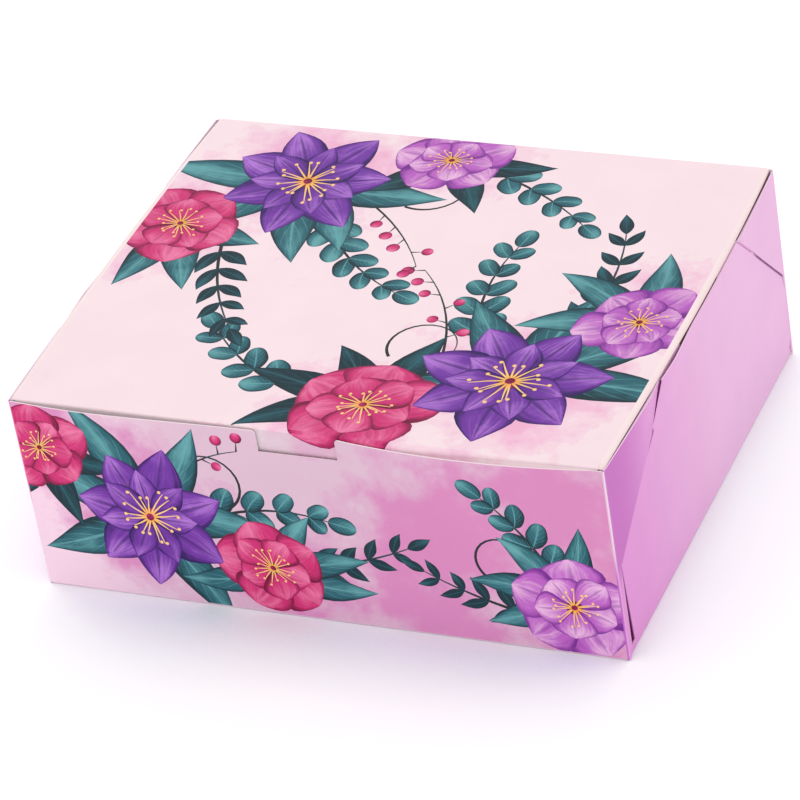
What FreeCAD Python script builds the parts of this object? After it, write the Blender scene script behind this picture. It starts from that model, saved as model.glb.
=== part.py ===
"""Gift carton with a hinged tuck lid and slit-locked corners.

The carton is one die-cut sheet of folding boxboard. It is drawn here as its panels and the creases
between them, each a solid of its own. The corner ears wrap outside the side walls and pass through
slanted slits to lock behind them.

Frame: the origin is under the middle of the base, +X to the right, +Y to the back, +Z up. Bodies are
drawn from the front left bottom corner of the box and placed half a width and half a depth away.
"""

import FreeCAD
import Part
import Sketcher

import os
import re

# Driving sizes in millimetres and degrees: alias, value, note
SIZES = [
    ("box_width", 300, "outside, ear to ear"),
    ("box_depth", 250, "outside, front wall to back wall"),
    ("box_height", 110, "table to lid top"),
    ("board", 0.6, "thickness of the boxboard"),
    ("crease_radius", 1.2, "outer radius of the folds between base, walls and ears"),
    ("ply_gap", 0.2, "play between plies lying on each other"),
    ("front_drop", 1.0, "front wall and ear tops below the lid top"),
    ("side_drop", 2.4, "side wall tops below the lid top"),
    ("front_end_gap", 9.2, "front box face to the foot of a side wall's front end"),
    ("front_end_top", 5.4, "front box face to that end from the ear's waist up"),
    ("back_end_gap", 1.9, "back box face to a side wall's back end"),
    ("wall_end_flare", 4.0, "height of the slanted foot of both ends"),
    ("notch_width", 40, "thumb notch in the front wall"),
    ("notch_depth", 12, "thumb notch below the wall top"),
    ("notch_shift", 3.2, "middle of the notch left of the wall's middle"),
    ("notch_round", 2.0, "rounding of the notch mouth"),
    ("ear_foot", 0.6, "table to the foot of an ear and of its crease"),
    ("strip_slant", 3.6, "rise of the slanted foot of an ear"),
    ("front_strip", 4.6, "narrow lower part of a front ear, from the front box face"),
    ("front_waist", 51.8, "height where a front ear widens"),
    ("front_slit_low", 56, "front box face to the low end of the front slit"),
    ("front_slit_top", 73, "front box face to the open end of the front slit"),
    ("front_ear_reach", 103, "front box face to the end of the front tongue"),
    ("back_strip", 2.3, "narrow lower part of a back ear, from the back box face"),
    ("back_waist", 48.5, "height where a back ear widens"),
    ("back_slit_low", 42, "back box face to the low end of the back slit"),
    ("back_slit_top", 61, "back box face to the open end of the back slit"),
    ("back_ear_reach", 91, "back box face to the end of the back tongue"),
    ("slit_depth", 18.5, "slit end below the side wall top"),
    ("slit_width", 1.8, "slit measured along the wall"),
    ("jog_width", 0.8, "ear in the slit, measured along the wall"),
    ("hook_drop", 8, "tongue below the slit end"),
    ("hook_run", 8, "slant of the tongue behind the slit end"),
    ("hook_round", 9, "rounding of the tongue end"),
    ("hinge_gap", 0.1, "lid and back wall to the bead of the lid crease"),
    ("front_gap", 0.8, "front wall to the tuck flap at its crease"),
    ("tuck_edge_radius", 1.2, "outer radius of the tuck flap crease"),
    ("tuck_lean", 5, "lean of the tucked flap off upright"),
    ("tuck_length", 30, "tuck flap below its crease"),
    ("tuck_end_gap", 0.8, "lid side crease to the end of the tuck flap"),
    ("tuck_taper", 5, "tuck flap narrower at its free edge, each end"),
    ("tuck_round", 16, "rounding of the tuck flap corners"),
    ("flap_gap", 0.5, "ear tongue to a lid side flap"),
    ("lid_edge_radius", 2.6, "outer radius of the soft side folds of the lid"),
    ("flap_length", 32, "lid side flap below its crease"),
    ("flap_end_gap", 1.0, "lid corner to the end of a side flap"),
    ("flap_taper", 26, "side flap shorter at its free edge, each end"),
    ("flap_round", 8, "rounding of the side flap corners"),
    ("lid_corner_round", 0.8, "rounding of the lid corners"),
]

# Places worked out from the driving sizes
SIDE_FACE = "(board + ply_gap)"
TONGUE_FACE = "(3 * board + 2 * ply_gap)"
FLAP_FACE = "(3 * board + 2 * ply_gap + flap_gap)"
LID_INSET = "(3 * board + 2 * ply_gap + flap_gap + lid_edge_radius)"
LID_BACK = "(box_depth - board - hinge_gap)"
TUCK_AXIS_Y = "(board + front_gap + tuck_edge_radius)"
TUCK_AXIS_Z = "(box_height - tuck_edge_radius)"
FLAP_AXIS_Z = "(box_height - lid_edge_radius)"
FRONT_TOP = "(box_height - front_drop)"
SIDE_TOP = "(box_height - side_drop)"
SLIT_END = "(box_height - side_drop - slit_depth)"
FOOT_INSET = "(crease_radius + ply_gap)"

X_AXIS = FreeCAD.Vector(1, 0, 0)
Y_AXIS = FreeCAD.Vector(0, 1, 0)
Z_AXIS = FreeCAD.Vector(0, 0, 1)

ALIAS = re.compile(r"\b(" + "|".join(name for name, _, _ in SIZES) + r")\b")


def add_sheet(doc):
    """Write the driving sizes to a spreadsheet, one alias a row."""
    sheet = doc.addObject("Spreadsheet::Sheet", "Sizes")
    for row, (name, value, note) in enumerate(SIZES, start=1):
        sheet.set(f"A{row}", name)
        sheet.set(f"B{row}", str(value))
        sheet.set(f"C{row}", note)
        sheet.setAlias(f"B{row}", name)
    doc.recompute()
    return sheet


def bound(text):
    """Turn a formula of size names into an expression on the sheet."""
    return ALIAS.sub(r"Sizes.\1", text)


def number(doc, text):
    """Give the present value of a formula of size names."""
    return float(doc.Sizes.evalExpression(bound(text)))


def bind(item, path, text):
    """Bind one property of a document object to a formula of size names."""
    item.setExpression(path, bound(text))


def add_body(doc, label, base=("-box_width / 2", "-box_depth / 2", "0")):
    """Start a body at a bound place in the box."""
    body = doc.addObject("PartDesign::Body", label)
    body.Label = label
    place(body, base)
    return body


def place(body, base):
    """Bind the three coordinates of a body's placement."""
    for axis, text in zip("xyz", base):
        bind(body, f"Placement.Base.{axis}", text)


def origin_plane(body, role):
    """Find one of the body's own base planes."""
    return next(item for item in body.Origin.OriginFeatures if item.Role == role)


def add_outline(body, name, role, offset, corners):
    """Draw a closed outline of straight lines whose corners are all bound to sizes."""
    doc = body.Document
    sketch = body.newObject("Sketcher::SketchObject", name)
    sketch.AttachmentSupport = [(origin_plane(body, role), "")]
    sketch.MapMode = "FlatFace"
    bind(sketch, "AttachmentOffset.Base.z", offset)
    points = [FreeCAD.Vector(number(doc, u), number(doc, v), 0) for u, v in corners]
    count = len(points)
    for index, point in enumerate(points):
        sketch.addGeometry(Part.LineSegment(point, points[(index + 1) % count]), False)
    for index in range(count):
        sketch.addConstraint(Sketcher.Constraint("Coincident", index, 2, (index + 1) % count, 1))
    for index, (u, v) in enumerate(corners):
        for kind, text, value in (("DistanceX", u, points[index].x), ("DistanceY", v, points[index].y)):
            number_of = sketch.addConstraint(Sketcher.Constraint(kind, -1, 1, index, 1, value))
            sketch.renameConstraint(number_of, f"{kind}{index}")
            bind(sketch, f"Constraints.{kind}{index}", text)
    return sketch


def add_pad(body, sketch, thickness, reverse=False):
    """Pad an outline to a bound thickness."""
    pad = body.newObject("PartDesign::Pad", sketch.Name + "_pad")
    pad.Profile = sketch
    pad.Reversed = reverse
    bind(pad, "Length", thickness)
    body.Document.recompute()
    return pad


def round_corners(body, feature, sketch, corners, radius):
    """Round the edges of a pad that rise from some corners of its outline."""
    normal = sketch.Placement.Rotation.multVec(Z_AXIS)
    names = []
    for corner in corners:
        spot = Part.Vertex(sketch.Placement.multVec(sketch.Geometry[corner].StartPoint))
        for index, edge in enumerate(feature.Shape.Edges, start=1):
            along = edge.tangentAt(edge.FirstParameter)
            if edge.distToShape(spot)[0] < 1e-6 and abs(along.dot(normal)) > 0.999:
                names.append(f"Edge{index}")
    fillet = body.newObject("PartDesign::Fillet", f"{sketch.Name}_round{corners[0]}")
    fillet.Base = (feature, names)
    bind(fillet, "Radius", radius)
    body.Document.recompute()
    return fillet


def add_mirror(doc, label, source, normal):
    """Mirror a finished panel in one of the box's middle planes."""
    mirror = doc.addObject("Part::Mirroring", label)
    mirror.Label = label
    mirror.Source = source
    mirror.Base = FreeCAD.Vector(0, 0, 0)
    mirror.Normal = normal
    return mirror


def add_crease(doc, label, base, start, towards, radius, length, angle="90"):
    """Bend a strip of board about its crease line, from one direction round towards another."""
    body = add_body(doc, label, base)
    turn = FreeCAD.Rotation(start, towards, start.cross(towards), "ZXY")
    body.Placement = FreeCAD.Placement(body.Placement.Base, turn)
    outside = body.newObject("PartDesign::AdditiveCylinder", label + "_outside")
    bind(outside, "Radius", radius)
    bind(outside, "Height", length)
    bind(outside, "Angle", angle)
    inside = body.newObject("PartDesign::SubtractiveCylinder", label + "_inside")
    bind(inside, "Radius", f"{radius} - board")
    bind(inside, "Height", length)
    return body


def add_bead(doc, label, base, length):
    """Make the squeezed bead of a crease that folds both ways, as a rod along X."""
    body = add_body(doc, label, base)
    turn = FreeCAD.Rotation(Y_AXIS, Z_AXIS, X_AXIS, "ZXY")
    body.Placement = FreeCAD.Placement(body.Placement.Base, turn)
    rod = body.newObject("PartDesign::AdditiveCylinder", label + "_rod")
    bind(rod, "Radius", "board / 2")
    bind(rod, "Height", length)
    return body


def add_base(doc):
    """Lay the base between the four bottom creases."""
    inset = f"({SIDE_FACE} + crease_radius)"
    body = add_body(doc, "base_panel")
    outline = [
        (inset, "crease_radius"),
        (f"box_width - {inset}", "crease_radius"),
        (f"box_width - {inset}", "box_depth - crease_radius"),
        (inset, "box_depth - crease_radius"),
    ]
    sketch = add_outline(body, "base_outline", "XY_Plane", "0", outline)
    add_pad(body, sketch, "board")
    return body


def add_front_wall(doc):
    """Stand the front wall up, with its thumb notch."""
    body = add_body(doc, "front_wall")
    notch_left = "(box_width / 2 - notch_shift - notch_width / 2)"
    notch_right = "(box_width / 2 - notch_shift + notch_width / 2)"
    outline = [
        ("crease_radius", "crease_radius"),
        ("box_width - crease_radius", "crease_radius"),
        ("box_width - crease_radius", FRONT_TOP),
        (notch_right, FRONT_TOP),
        (notch_right, f"{FRONT_TOP} - notch_depth"),
        (notch_left, f"{FRONT_TOP} - notch_depth"),
        (notch_left, FRONT_TOP),
        ("crease_radius", FRONT_TOP),
    ]
    sketch = add_outline(body, "front_wall_outline", "XZ_Plane", "0", outline)
    pad = add_pad(body, sketch, "board", reverse=True)
    round_corners(body, pad, sketch, (3, 6), "notch_round")
    return body


def add_back_wall(doc):
    """Stand the back wall up to the lid crease."""
    body = add_body(doc, "back_wall")
    top = "box_height - board - hinge_gap"
    outline = [
        ("crease_radius", "crease_radius"),
        ("box_width - crease_radius", "crease_radius"),
        ("box_width - crease_radius", top),
        ("crease_radius", top),
    ]
    sketch = add_outline(body, "back_wall_outline", "XZ_Plane", "-(box_depth - board)", outline)
    add_pad(body, sketch, "board", reverse=True)
    return body


def add_side_wall(doc):
    """Stand the right wall up, with a slanted slit near each end."""
    body = add_body(doc, "right_wall")
    foot_top = "crease_radius + wall_end_flare"
    outline = [
        (FOOT_INSET, "crease_radius"),
        (f"box_depth - {FOOT_INSET}", "crease_radius"),
        ("box_depth - back_end_gap", foot_top),
        ("box_depth - back_end_gap", SIDE_TOP),
        ("box_depth - back_slit_top + slit_width / 2", SIDE_TOP),
        ("box_depth - back_slit_low + slit_width / 2", SLIT_END),
        ("box_depth - back_slit_low - slit_width / 2", SLIT_END),
        ("box_depth - back_slit_top - slit_width / 2", SIDE_TOP),
        ("front_slit_top + slit_width / 2", SIDE_TOP),
        ("front_slit_low + slit_width / 2", SLIT_END),
        ("front_slit_low - slit_width / 2", SLIT_END),
        ("front_slit_top - slit_width / 2", SIDE_TOP),
        ("front_end_top", SIDE_TOP),
        ("front_end_top", "front_waist"),
        ("front_end_gap", foot_top),
    ]
    offset = f"box_width - {SIDE_FACE} - board"
    sketch = add_outline(body, "right_wall_outline", "YZ_Plane", offset, outline)
    add_pad(body, sketch, "board")
    return body


def add_ear(doc, end):
    """Fold a right-hand corner ear: a web outside the wall, a jog through the slit, a tongue inside.

    Distances run from the ear's own end of the box, so a back ear counts from the back face.
    """

    def reach(text):
        return text if end == "front" else f"box_depth - ({text})"

    body = add_body(doc, f"{end}_right_ear")
    low = f"{end}_slit_low"
    top = f"{end}_slit_top"
    web = [
        (reach("crease_radius"), "ear_foot"),
        (reach(f"{end}_strip"), "ear_foot + strip_slant"),
        (reach(f"{end}_strip"), f"{end}_waist"),
        (reach(f"{low} + jog_width / 2"), SLIT_END),
        (reach(f"{top} + jog_width / 2"), SIDE_TOP),
        (reach("crease_radius"), FRONT_TOP),
    ]
    jog = [
        (reach(f"{low} - jog_width / 2"), SLIT_END),
        (reach(f"{low} + jog_width / 2"), SLIT_END),
        (reach(f"{top} + jog_width / 2"), SIDE_TOP),
        (reach(f"{top} - jog_width / 2"), SIDE_TOP),
    ]
    tongue = [
        (reach(f"{low} - jog_width / 2"), SLIT_END),
        (reach(f"{low} + hook_run"), f"{SLIT_END} - hook_drop"),
        (reach(f"{end}_ear_reach"), f"{SLIT_END} - hook_drop"),
        (reach(f"{end}_ear_reach"), SIDE_TOP),
        (reach(f"{top} - jog_width / 2"), SIDE_TOP),
    ]
    inside = f"box_width - {TONGUE_FACE}"
    web_sketch = add_outline(body, f"{end}_ear_web", "YZ_Plane", "box_width - board", web)
    add_pad(body, web_sketch, "board")
    jog_sketch = add_outline(body, f"{end}_ear_jog", "YZ_Plane", inside, jog)
    add_pad(body, jog_sketch, TONGUE_FACE)
    tongue_sketch = add_outline(body, f"{end}_ear_tongue", "YZ_Plane", inside, tongue)
    tongue_pad = add_pad(body, tongue_sketch, "board")
    round_corners(body, tongue_pad, tongue_sketch, (2,), "hook_round")
    return body


def add_lid(doc):
    """Lay the lid panel between its four creases."""
    body = add_body(doc, "lid_panel")
    outline = [
        (LID_INSET, TUCK_AXIS_Y),
        (f"box_width - {LID_INSET}", TUCK_AXIS_Y),
        (f"box_width - {LID_INSET}", LID_BACK),
        (LID_INSET, LID_BACK),
    ]
    sketch = add_outline(body, "lid_outline", "XY_Plane", "box_height - board", outline)
    pad = add_pad(body, sketch, "board")
    round_corners(body, pad, sketch, (0, 1), "lid_corner_round")
    return body


def add_tuck_flap(doc):
    """Hang the tuck flap from its crease, leaning in, drawn downwards from the crease line."""
    body = add_body(doc, "tuck_flap", ("-box_width / 2", f"{TUCK_AXIS_Y} - box_depth / 2", TUCK_AXIS_Z))
    body.Placement = FreeCAD.Placement(body.Placement.Base, FreeCAD.Rotation(X_AXIS, 180))
    body.setExpression("Placement.Rotation.Angle", "(180 + Sizes.tuck_lean) * 1 deg")
    end = f"({LID_INSET} + tuck_end_gap)"
    outline = [
        (end, "0"),
        (f"box_width - {end}", "0"),
        (f"box_width - {end} - tuck_taper", "tuck_length"),
        (f"{end} + tuck_taper", "tuck_length"),
    ]
    sketch = add_outline(body, "tuck_outline", "XZ_Plane", "-(tuck_edge_radius - board)", outline)
    pad = add_pad(body, sketch, "board", reverse=True)
    round_corners(body, pad, sketch, (2, 3), "tuck_round")
    return body


def add_side_flap(doc):
    """Hang the right side flap from its soft fold, inside the ear tongues."""
    body = add_body(doc, "right_flap")
    front = f"({TUCK_AXIS_Y} + flap_end_gap)"
    back = f"({LID_BACK} - flap_end_gap)"
    free_edge = f"{FLAP_AXIS_Z} - flap_length"
    outline = [
        (front, FLAP_AXIS_Z),
        (f"{front} + flap_taper", free_edge),
        (f"{back} - flap_taper", free_edge),
        (back, FLAP_AXIS_Z),
    ]
    sketch = add_outline(body, "right_flap_outline", "YZ_Plane", f"box_width - {FLAP_FACE} - board", outline)
    pad = add_pad(body, sketch, "board")
    round_corners(body, pad, sketch, (1, 2), "flap_round")
    return body


def add_creases(doc):
    """Bend the board at every fold: four at the base, four at the corners, four round the lid."""
    half_width = "box_width / 2"
    half_depth = "box_depth / 2"
    side_line = f"({half_width} - {SIDE_FACE} - crease_radius)"
    front_line = f"({half_depth} - crease_radius)"
    corner_line = f"({half_width} - crease_radius)"
    base_width = f"2 * {side_line}"
    wall_length = f"box_depth - 2 * {FOOT_INSET}"
    ear_height = f"{FRONT_TOP} - ear_foot"
    radius = "crease_radius"
    left_end = f"-{side_line}"
    wall_start = f"{FOOT_INSET} - {half_depth}"
    down = -Z_AXIS
    left = -X_AXIS
    front = -Y_AXIS
    creases = []
    bottoms = [
        ("front_base_crease", left_end, f"-{front_line}", front, down, base_width),
        ("back_base_crease", left_end, front_line, down, Y_AXIS, base_width),
        ("right_base_crease", side_line, wall_start, X_AXIS, down, wall_length),
        ("left_base_crease", left_end, wall_start, down, left, wall_length),
    ]
    for label, x_place, y_place, start, towards, run in bottoms:
        creases.append(add_crease(doc, label, (x_place, y_place, radius), start, towards, radius, run))
    corners = [
        ("front_right_crease", corner_line, f"-{front_line}", front, X_AXIS),
        ("front_left_crease", f"-{corner_line}", f"-{front_line}", left, front),
        ("back_right_crease", corner_line, front_line, X_AXIS, Y_AXIS),
        ("back_left_crease", f"-{corner_line}", front_line, Y_AXIS, left),
    ]
    for label, x_place, y_place, start, towards in corners:
        base = (x_place, y_place, "ear_foot")
        creases.append(add_crease(doc, label, base, start, towards, radius, ear_height))

    lid_width = f"box_width - 2 * {LID_INSET}"
    lid_left = f"{LID_INSET} - {half_width}"
    bead_place = (lid_left, f"{half_depth} - board / 2", "box_height - board / 2")
    creases.append(add_bead(doc, "lid_crease", bead_place, lid_width))
    tuck_place = (f"{lid_left} + tuck_end_gap", f"{TUCK_AXIS_Y} - {half_depth}", TUCK_AXIS_Z)
    tuck_width = f"{lid_width} - 2 * tuck_end_gap"
    creases.append(add_crease(doc, "tuck_flap_crease", tuck_place, Z_AXIS, front,
                              "tuck_edge_radius", tuck_width, "90 + tuck_lean"))
    flap_start = f"{TUCK_AXIS_Y} + flap_end_gap - {half_depth}"
    flap_run = f"{LID_BACK} - {TUCK_AXIS_Y} - 2 * flap_end_gap"
    for label, x_place, start, towards in (
        ("right_flap_crease", f"{half_width} - {LID_INSET}", Z_AXIS, X_AXIS),
        ("left_flap_crease", lid_left, left, Z_AXIS),
    ):
        creases.append(add_crease(doc, label, (x_place, flap_start, FLAP_AXIS_Z), start, towards,
                                  "lid_edge_radius", flap_run))
    return creases


def build():
    """Make the document and return its finished panels and creases."""
    doc = FreeCAD.newDocument("gift_carton")
    add_sheet(doc)
    right_wall = add_side_wall(doc)
    front_ear = add_ear(doc, "front")
    back_ear = add_ear(doc, "back")
    right_flap = add_side_flap(doc)
    nodes = [
        add_base(doc),
        add_front_wall(doc),
        add_back_wall(doc),
        right_wall,
        add_mirror(doc, "left_wall", right_wall, X_AXIS),
        front_ear,
        add_mirror(doc, "front_left_ear", front_ear, X_AXIS),
        back_ear,
        add_mirror(doc, "back_left_ear", back_ear, X_AXIS),
        add_lid(doc),
        add_tuck_flap(doc),
        right_flap,
        add_mirror(doc, "left_flap", right_flap, X_AXIS),
    ]
    nodes += add_creases(doc)
    doc.recompute()
    return doc, nodes


def check(doc, nodes):
    """Stop on any object that failed and on any node without one valid solid."""
    for item in doc.Objects:
        if "Invalid" in item.State or "Error" in item.State:
            raise RuntimeError(f"{item.Label} failed to recompute")
    for node in nodes:
        if node.Shape.isNull() or not node.Shape.isValid() or len(node.Shape.Solids) != 1:
            raise RuntimeError(f"{node.Label} is not one valid solid")


def export(nodes):
    """Write each node to its own STEP file."""
    os.makedirs("parts", exist_ok=True)
    for node in nodes:
        node.Shape.exportStep(f"parts/{node.Label}.step")


document, carton_nodes = build()
check(document, carton_nodes)
export(carton_nodes)
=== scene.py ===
"""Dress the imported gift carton: die-cut boards with a floral print, soft folds and a studio stage.

Every board is cut flat from its die line, printed while flat, folded up into its place in the frame and
given the thickness of the sheet. The print is drawn as painted shapes, each a curved spine with a width,
that are cut into the board's own surface, so the flowers lie in the sheet and follow its bow.
"""

import math
import random
from collections import namedtuple

import bpy
import numpy as np
from bpy.props import FloatProperty, FloatVectorProperty, PointerProperty
from mathutils import Matrix, Vector
from mathutils.geometry import delaunay_2d_cdt


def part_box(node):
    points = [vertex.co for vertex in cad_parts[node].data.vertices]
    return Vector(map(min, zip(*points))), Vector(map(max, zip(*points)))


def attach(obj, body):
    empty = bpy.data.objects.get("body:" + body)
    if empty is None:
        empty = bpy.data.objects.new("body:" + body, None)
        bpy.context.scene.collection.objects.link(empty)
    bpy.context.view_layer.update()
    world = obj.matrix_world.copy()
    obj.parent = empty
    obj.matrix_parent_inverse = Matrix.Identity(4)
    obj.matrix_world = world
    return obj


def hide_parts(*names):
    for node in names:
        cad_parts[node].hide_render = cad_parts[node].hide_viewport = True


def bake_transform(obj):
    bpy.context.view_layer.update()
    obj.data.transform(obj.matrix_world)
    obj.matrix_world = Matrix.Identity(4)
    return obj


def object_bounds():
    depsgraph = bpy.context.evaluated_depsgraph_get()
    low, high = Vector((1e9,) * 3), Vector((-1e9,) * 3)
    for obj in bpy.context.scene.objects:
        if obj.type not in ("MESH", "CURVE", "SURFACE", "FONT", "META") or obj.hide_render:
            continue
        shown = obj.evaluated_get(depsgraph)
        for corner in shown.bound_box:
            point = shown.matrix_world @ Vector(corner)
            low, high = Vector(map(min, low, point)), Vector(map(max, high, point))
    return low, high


bl_info = {
    "name": "Gift carton",
    "version": (1, 0, 0),
    "blender": (4, 5, 0),
    "location": "View3D > Sidebar > Carton",
    "description": "Prints, folds and stages a floral gift carton",
    "category": "Object",
}

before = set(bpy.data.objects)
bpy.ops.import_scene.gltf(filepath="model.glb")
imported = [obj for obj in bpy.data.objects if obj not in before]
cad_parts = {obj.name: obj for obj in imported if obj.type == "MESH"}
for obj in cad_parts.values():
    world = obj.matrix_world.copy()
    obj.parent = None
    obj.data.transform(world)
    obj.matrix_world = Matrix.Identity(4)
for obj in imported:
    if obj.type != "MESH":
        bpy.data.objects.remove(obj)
CAD_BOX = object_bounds()

FULL_TURN = 2 * math.pi
# Half width under which the end of a painted shape is a point
SHARP = 1e-5
# Distance under which two points of a die line are one
WELD = 1e-7
# Angle in degrees up to which a board is shaded smooth
SMOOTH_ANGLE = 35

# Powers of a side wall's bow along the wall and up it
SIDE_POWERS = (0.9, 1.6)
# Share of a side wall's bow that the flap inside it takes up
FLAP_SHARE = 0.9
# Powers that set where the front wall bows most: from its left end and from its right end
BOW_POWERS = (1.5, 8.5)
# Power of that wall's bow right of the notch along the wall, and of the whole bow up it
RIGHT_POWER = 0.8
FRONT_POWER = 1.8
# Share of a slit's push that stands at the slit already, and share of its length where it has faded
PUSH_SPAN = (0.5, 1.4)
# Power by which the push grows from the slit's low end to the wall's top
PUSH_POWER = 0.5
# Length over which a side wall's back end comes out to its ear, and height over which that sets in
FLUSH_RUN = 0.015
FLUSH_RISE = 0.006
# Height at which that starts, and distance below the ear's waist at which it ends
FLUSH_FOOT = 0.005
FLUSH_GAP = 0.002
# Share of a slit's half width within which a face belongs to the slit's cut edge
SLIT_MARGIN = 1.02
# Forward part of the normal from which a face belongs to a side wall's front end
END_FACING = 0.7

# Shares of the front wall's right bow by which the tuck flap's fold runs out and drops behind it
TUCK_PRESS = 0.85
TUCK_DROP = 0.6
# Share of the tuck flap's length that swells, and the power by which it bends away below
TUCK_SWELL = 0.55
TUCK_EASE = 0.8
# Rows of faces across the tuck flap's fold
FOLD_STEPS = 8
# Faces along and across the lid's other folds
STRIP_STEPS = (64, 10)
# Power of the superellipse that a sharp crease follows, 2 being a circle
CREASE_POWER = 3.2
# Shares of a side fold's swelling left at the lid's front and back corners
FOLD_CORNERS = (1.15, 0.35)
# Share of the front fold's radius that a side fold covers, and the power that moves its swelling down
FOLD_FRONT = 0.9
FOLD_POWER = 1.3

# Width of a painted shade and of its dark core, and half the length over which it sets in
SHADE_WIDTH = 0.0014
SHADE_CORE = 0.0006
SHADE_START = 0.001
# Lengths over which the shades fade: by the back ear, below the front slit and at the front end
SHADE_FADES = (0.012, 0.009, 0.001)
# Length of the shade that runs on below a front slit along the ear's edge
SLIT_SHADE = 0.013
# Distances of that shade from the edge, which stands off the wall, at the slit and at its end
SHADE_STEPS = (0.0042, 0.0026)

# Depths in the box between which the plain walls turn from lilac to orchid, a painted shade that darkens
# them towards the front
LILAC_SPAN = (0.05, -0.14)
# Depths and heights in the box between which the ears darken, a painted shade towards the front
EAR_SHADE_DEPTHS = (-0.055, -0.118)
EAR_SHADE_HEIGHTS = (0.040, 0.056)
# Places along the front wall between which its ground darkens, a painted shade
FRONT_SHADE_SPAN = (-0.15, -0.04)
# Heights between which a front corner's print changes its tone and its pale line, creased board with a
# painted highlight, grows
CORNER_HEIGHTS = (0.065, 0.045)
WEAR_HIGHLIGHT_HEIGHTS = (0.03, 0.09)
# Strength of that line below these heights, and what it gains above them
WEAR_HIGHLIGHT_STRENGTH = (0.2, 0.5)
# Parts of a normal between which a face comes to look along an axis, and the pale line of creasing and
# painted highlight to show
FACING_SPAN = (0.66, 0.74)
WEAR_HIGHLIGHT_SPAN = (0.90, 0.99)
# Distances below a side fold's crease between which its painted shade sets in
FOLD_SHADE_SPAN = (0.006, 0.001)
# Openness of the floor over which its painted glow sets in, and places over which its painted shadow in
# front and its painted cool glow beside set in
OPEN_SPAN = (0.46, 0.74)
BEFORE_SPAN = (-0.115, -0.14)
BESIDE_SPAN = (0.14, 0.17)
BLACK = (0.0, 0.0, 0.0)

# Inks of the print: the tones of their shade, body, light and lines, then the strength of streaks, rib
# and side veins, and the share of a shape's length from which its shade lightens
INKS = {
    "violet": ("violet_dark", "violet_body", "violet_light", "violet_dark", 0.9, 0.55, 0.0, 0.02),
    "rose": ("rose_dark", "rose_body", "rose_light", "rose_dark", 0.8, 0.15, 0.0, 0.02),
    "orchid": ("orchid_dark", "orchid_body", "orchid_light", "orchid_dark", 0.8, 0.35, 0.0, 0.02),
    "leaf": ("leaf_dark", "leaf_body", "leaf_light", "leaf_light", 0.5, 0.75, 0.45, 0.0),
    "shade_leaf": ("leaf_dark", "leaf_dark", "leaf_body", "leaf_body", 0.5, 0.8, 0.5, 0.0),
    "stem": ("stem", "stem", "leaf_body", "stem", 0.6, 0.0, 0.0, 0.0),
    "stamen": ("stamen", "heart", "heart", "stamen", 0.4, 0.0, 0.0, 0.0),
    "eye": ("violet_dark", "rose_dark", "rose_body", "stamen", 0.6, 0.0, 0.0, 0.0),
}
BRUSH_COLOURS = ("Dark", "Body", "Light", "Line")
BRUSH_NUMBERS = ("Streaks", "Rib", "Veins", "Root")

# Number of a flower's stamens; their roots, threads and dots, and its eye, as shares of its radius
STAMENS = 17
ROOT_SHARE = 0.05
THREAD_SHARE = 0.028
DOT_SHARE = 0.045
EYE_SHARE = 0.13
# Rings of petals in a flower, and the share of its radius by which the inner one is smaller
RINGS = 2
RING_STEP = 0.34
# Angle at which leaves stand off their stem
LEAF_OPENING = 0.85
# Widths of the stems of leaves, curls, fruits and a single fruit, and the size of a fruit
SPRIG_STEM = 0.0021
CURL_STEM = 0.0016
FRUIT_STEM = 0.0015
FRUIT_STALK = 0.001
FRUIT_SIZE = 0.0062

# A painted shape: points of its spine, half widths there, the ink it takes and a tone from 0 to 1
Shape = namedtuple("Shape", "spine widths ink tone")
# A board cut flat: points, triangles and, for each triangle, the painted shape on top or -1
Die = namedtuple("Die", "points triangles owner shapes")


def length(name, description, default):
    """Declare a length in metres."""
    return FloatProperty(name=name, description=description, default=default, unit="LENGTH", precision=5)


def colour(name, description, default):
    """Declare a linear colour."""
    return FloatVectorProperty(
        name=name, description=description, default=default, size=3, subtype="COLOR", min=0, max=1
    )


def degrees(name, description, default):
    """Declare an angle, with its default in degrees."""
    turn = math.radians(default)
    return FloatProperty(name=name, description=description, default=turn, subtype="ANGLE")


def number(name, description, default):
    """Declare a plain number that isn't below zero."""
    return FloatProperty(name=name, description=description, default=default, min=0)


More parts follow.
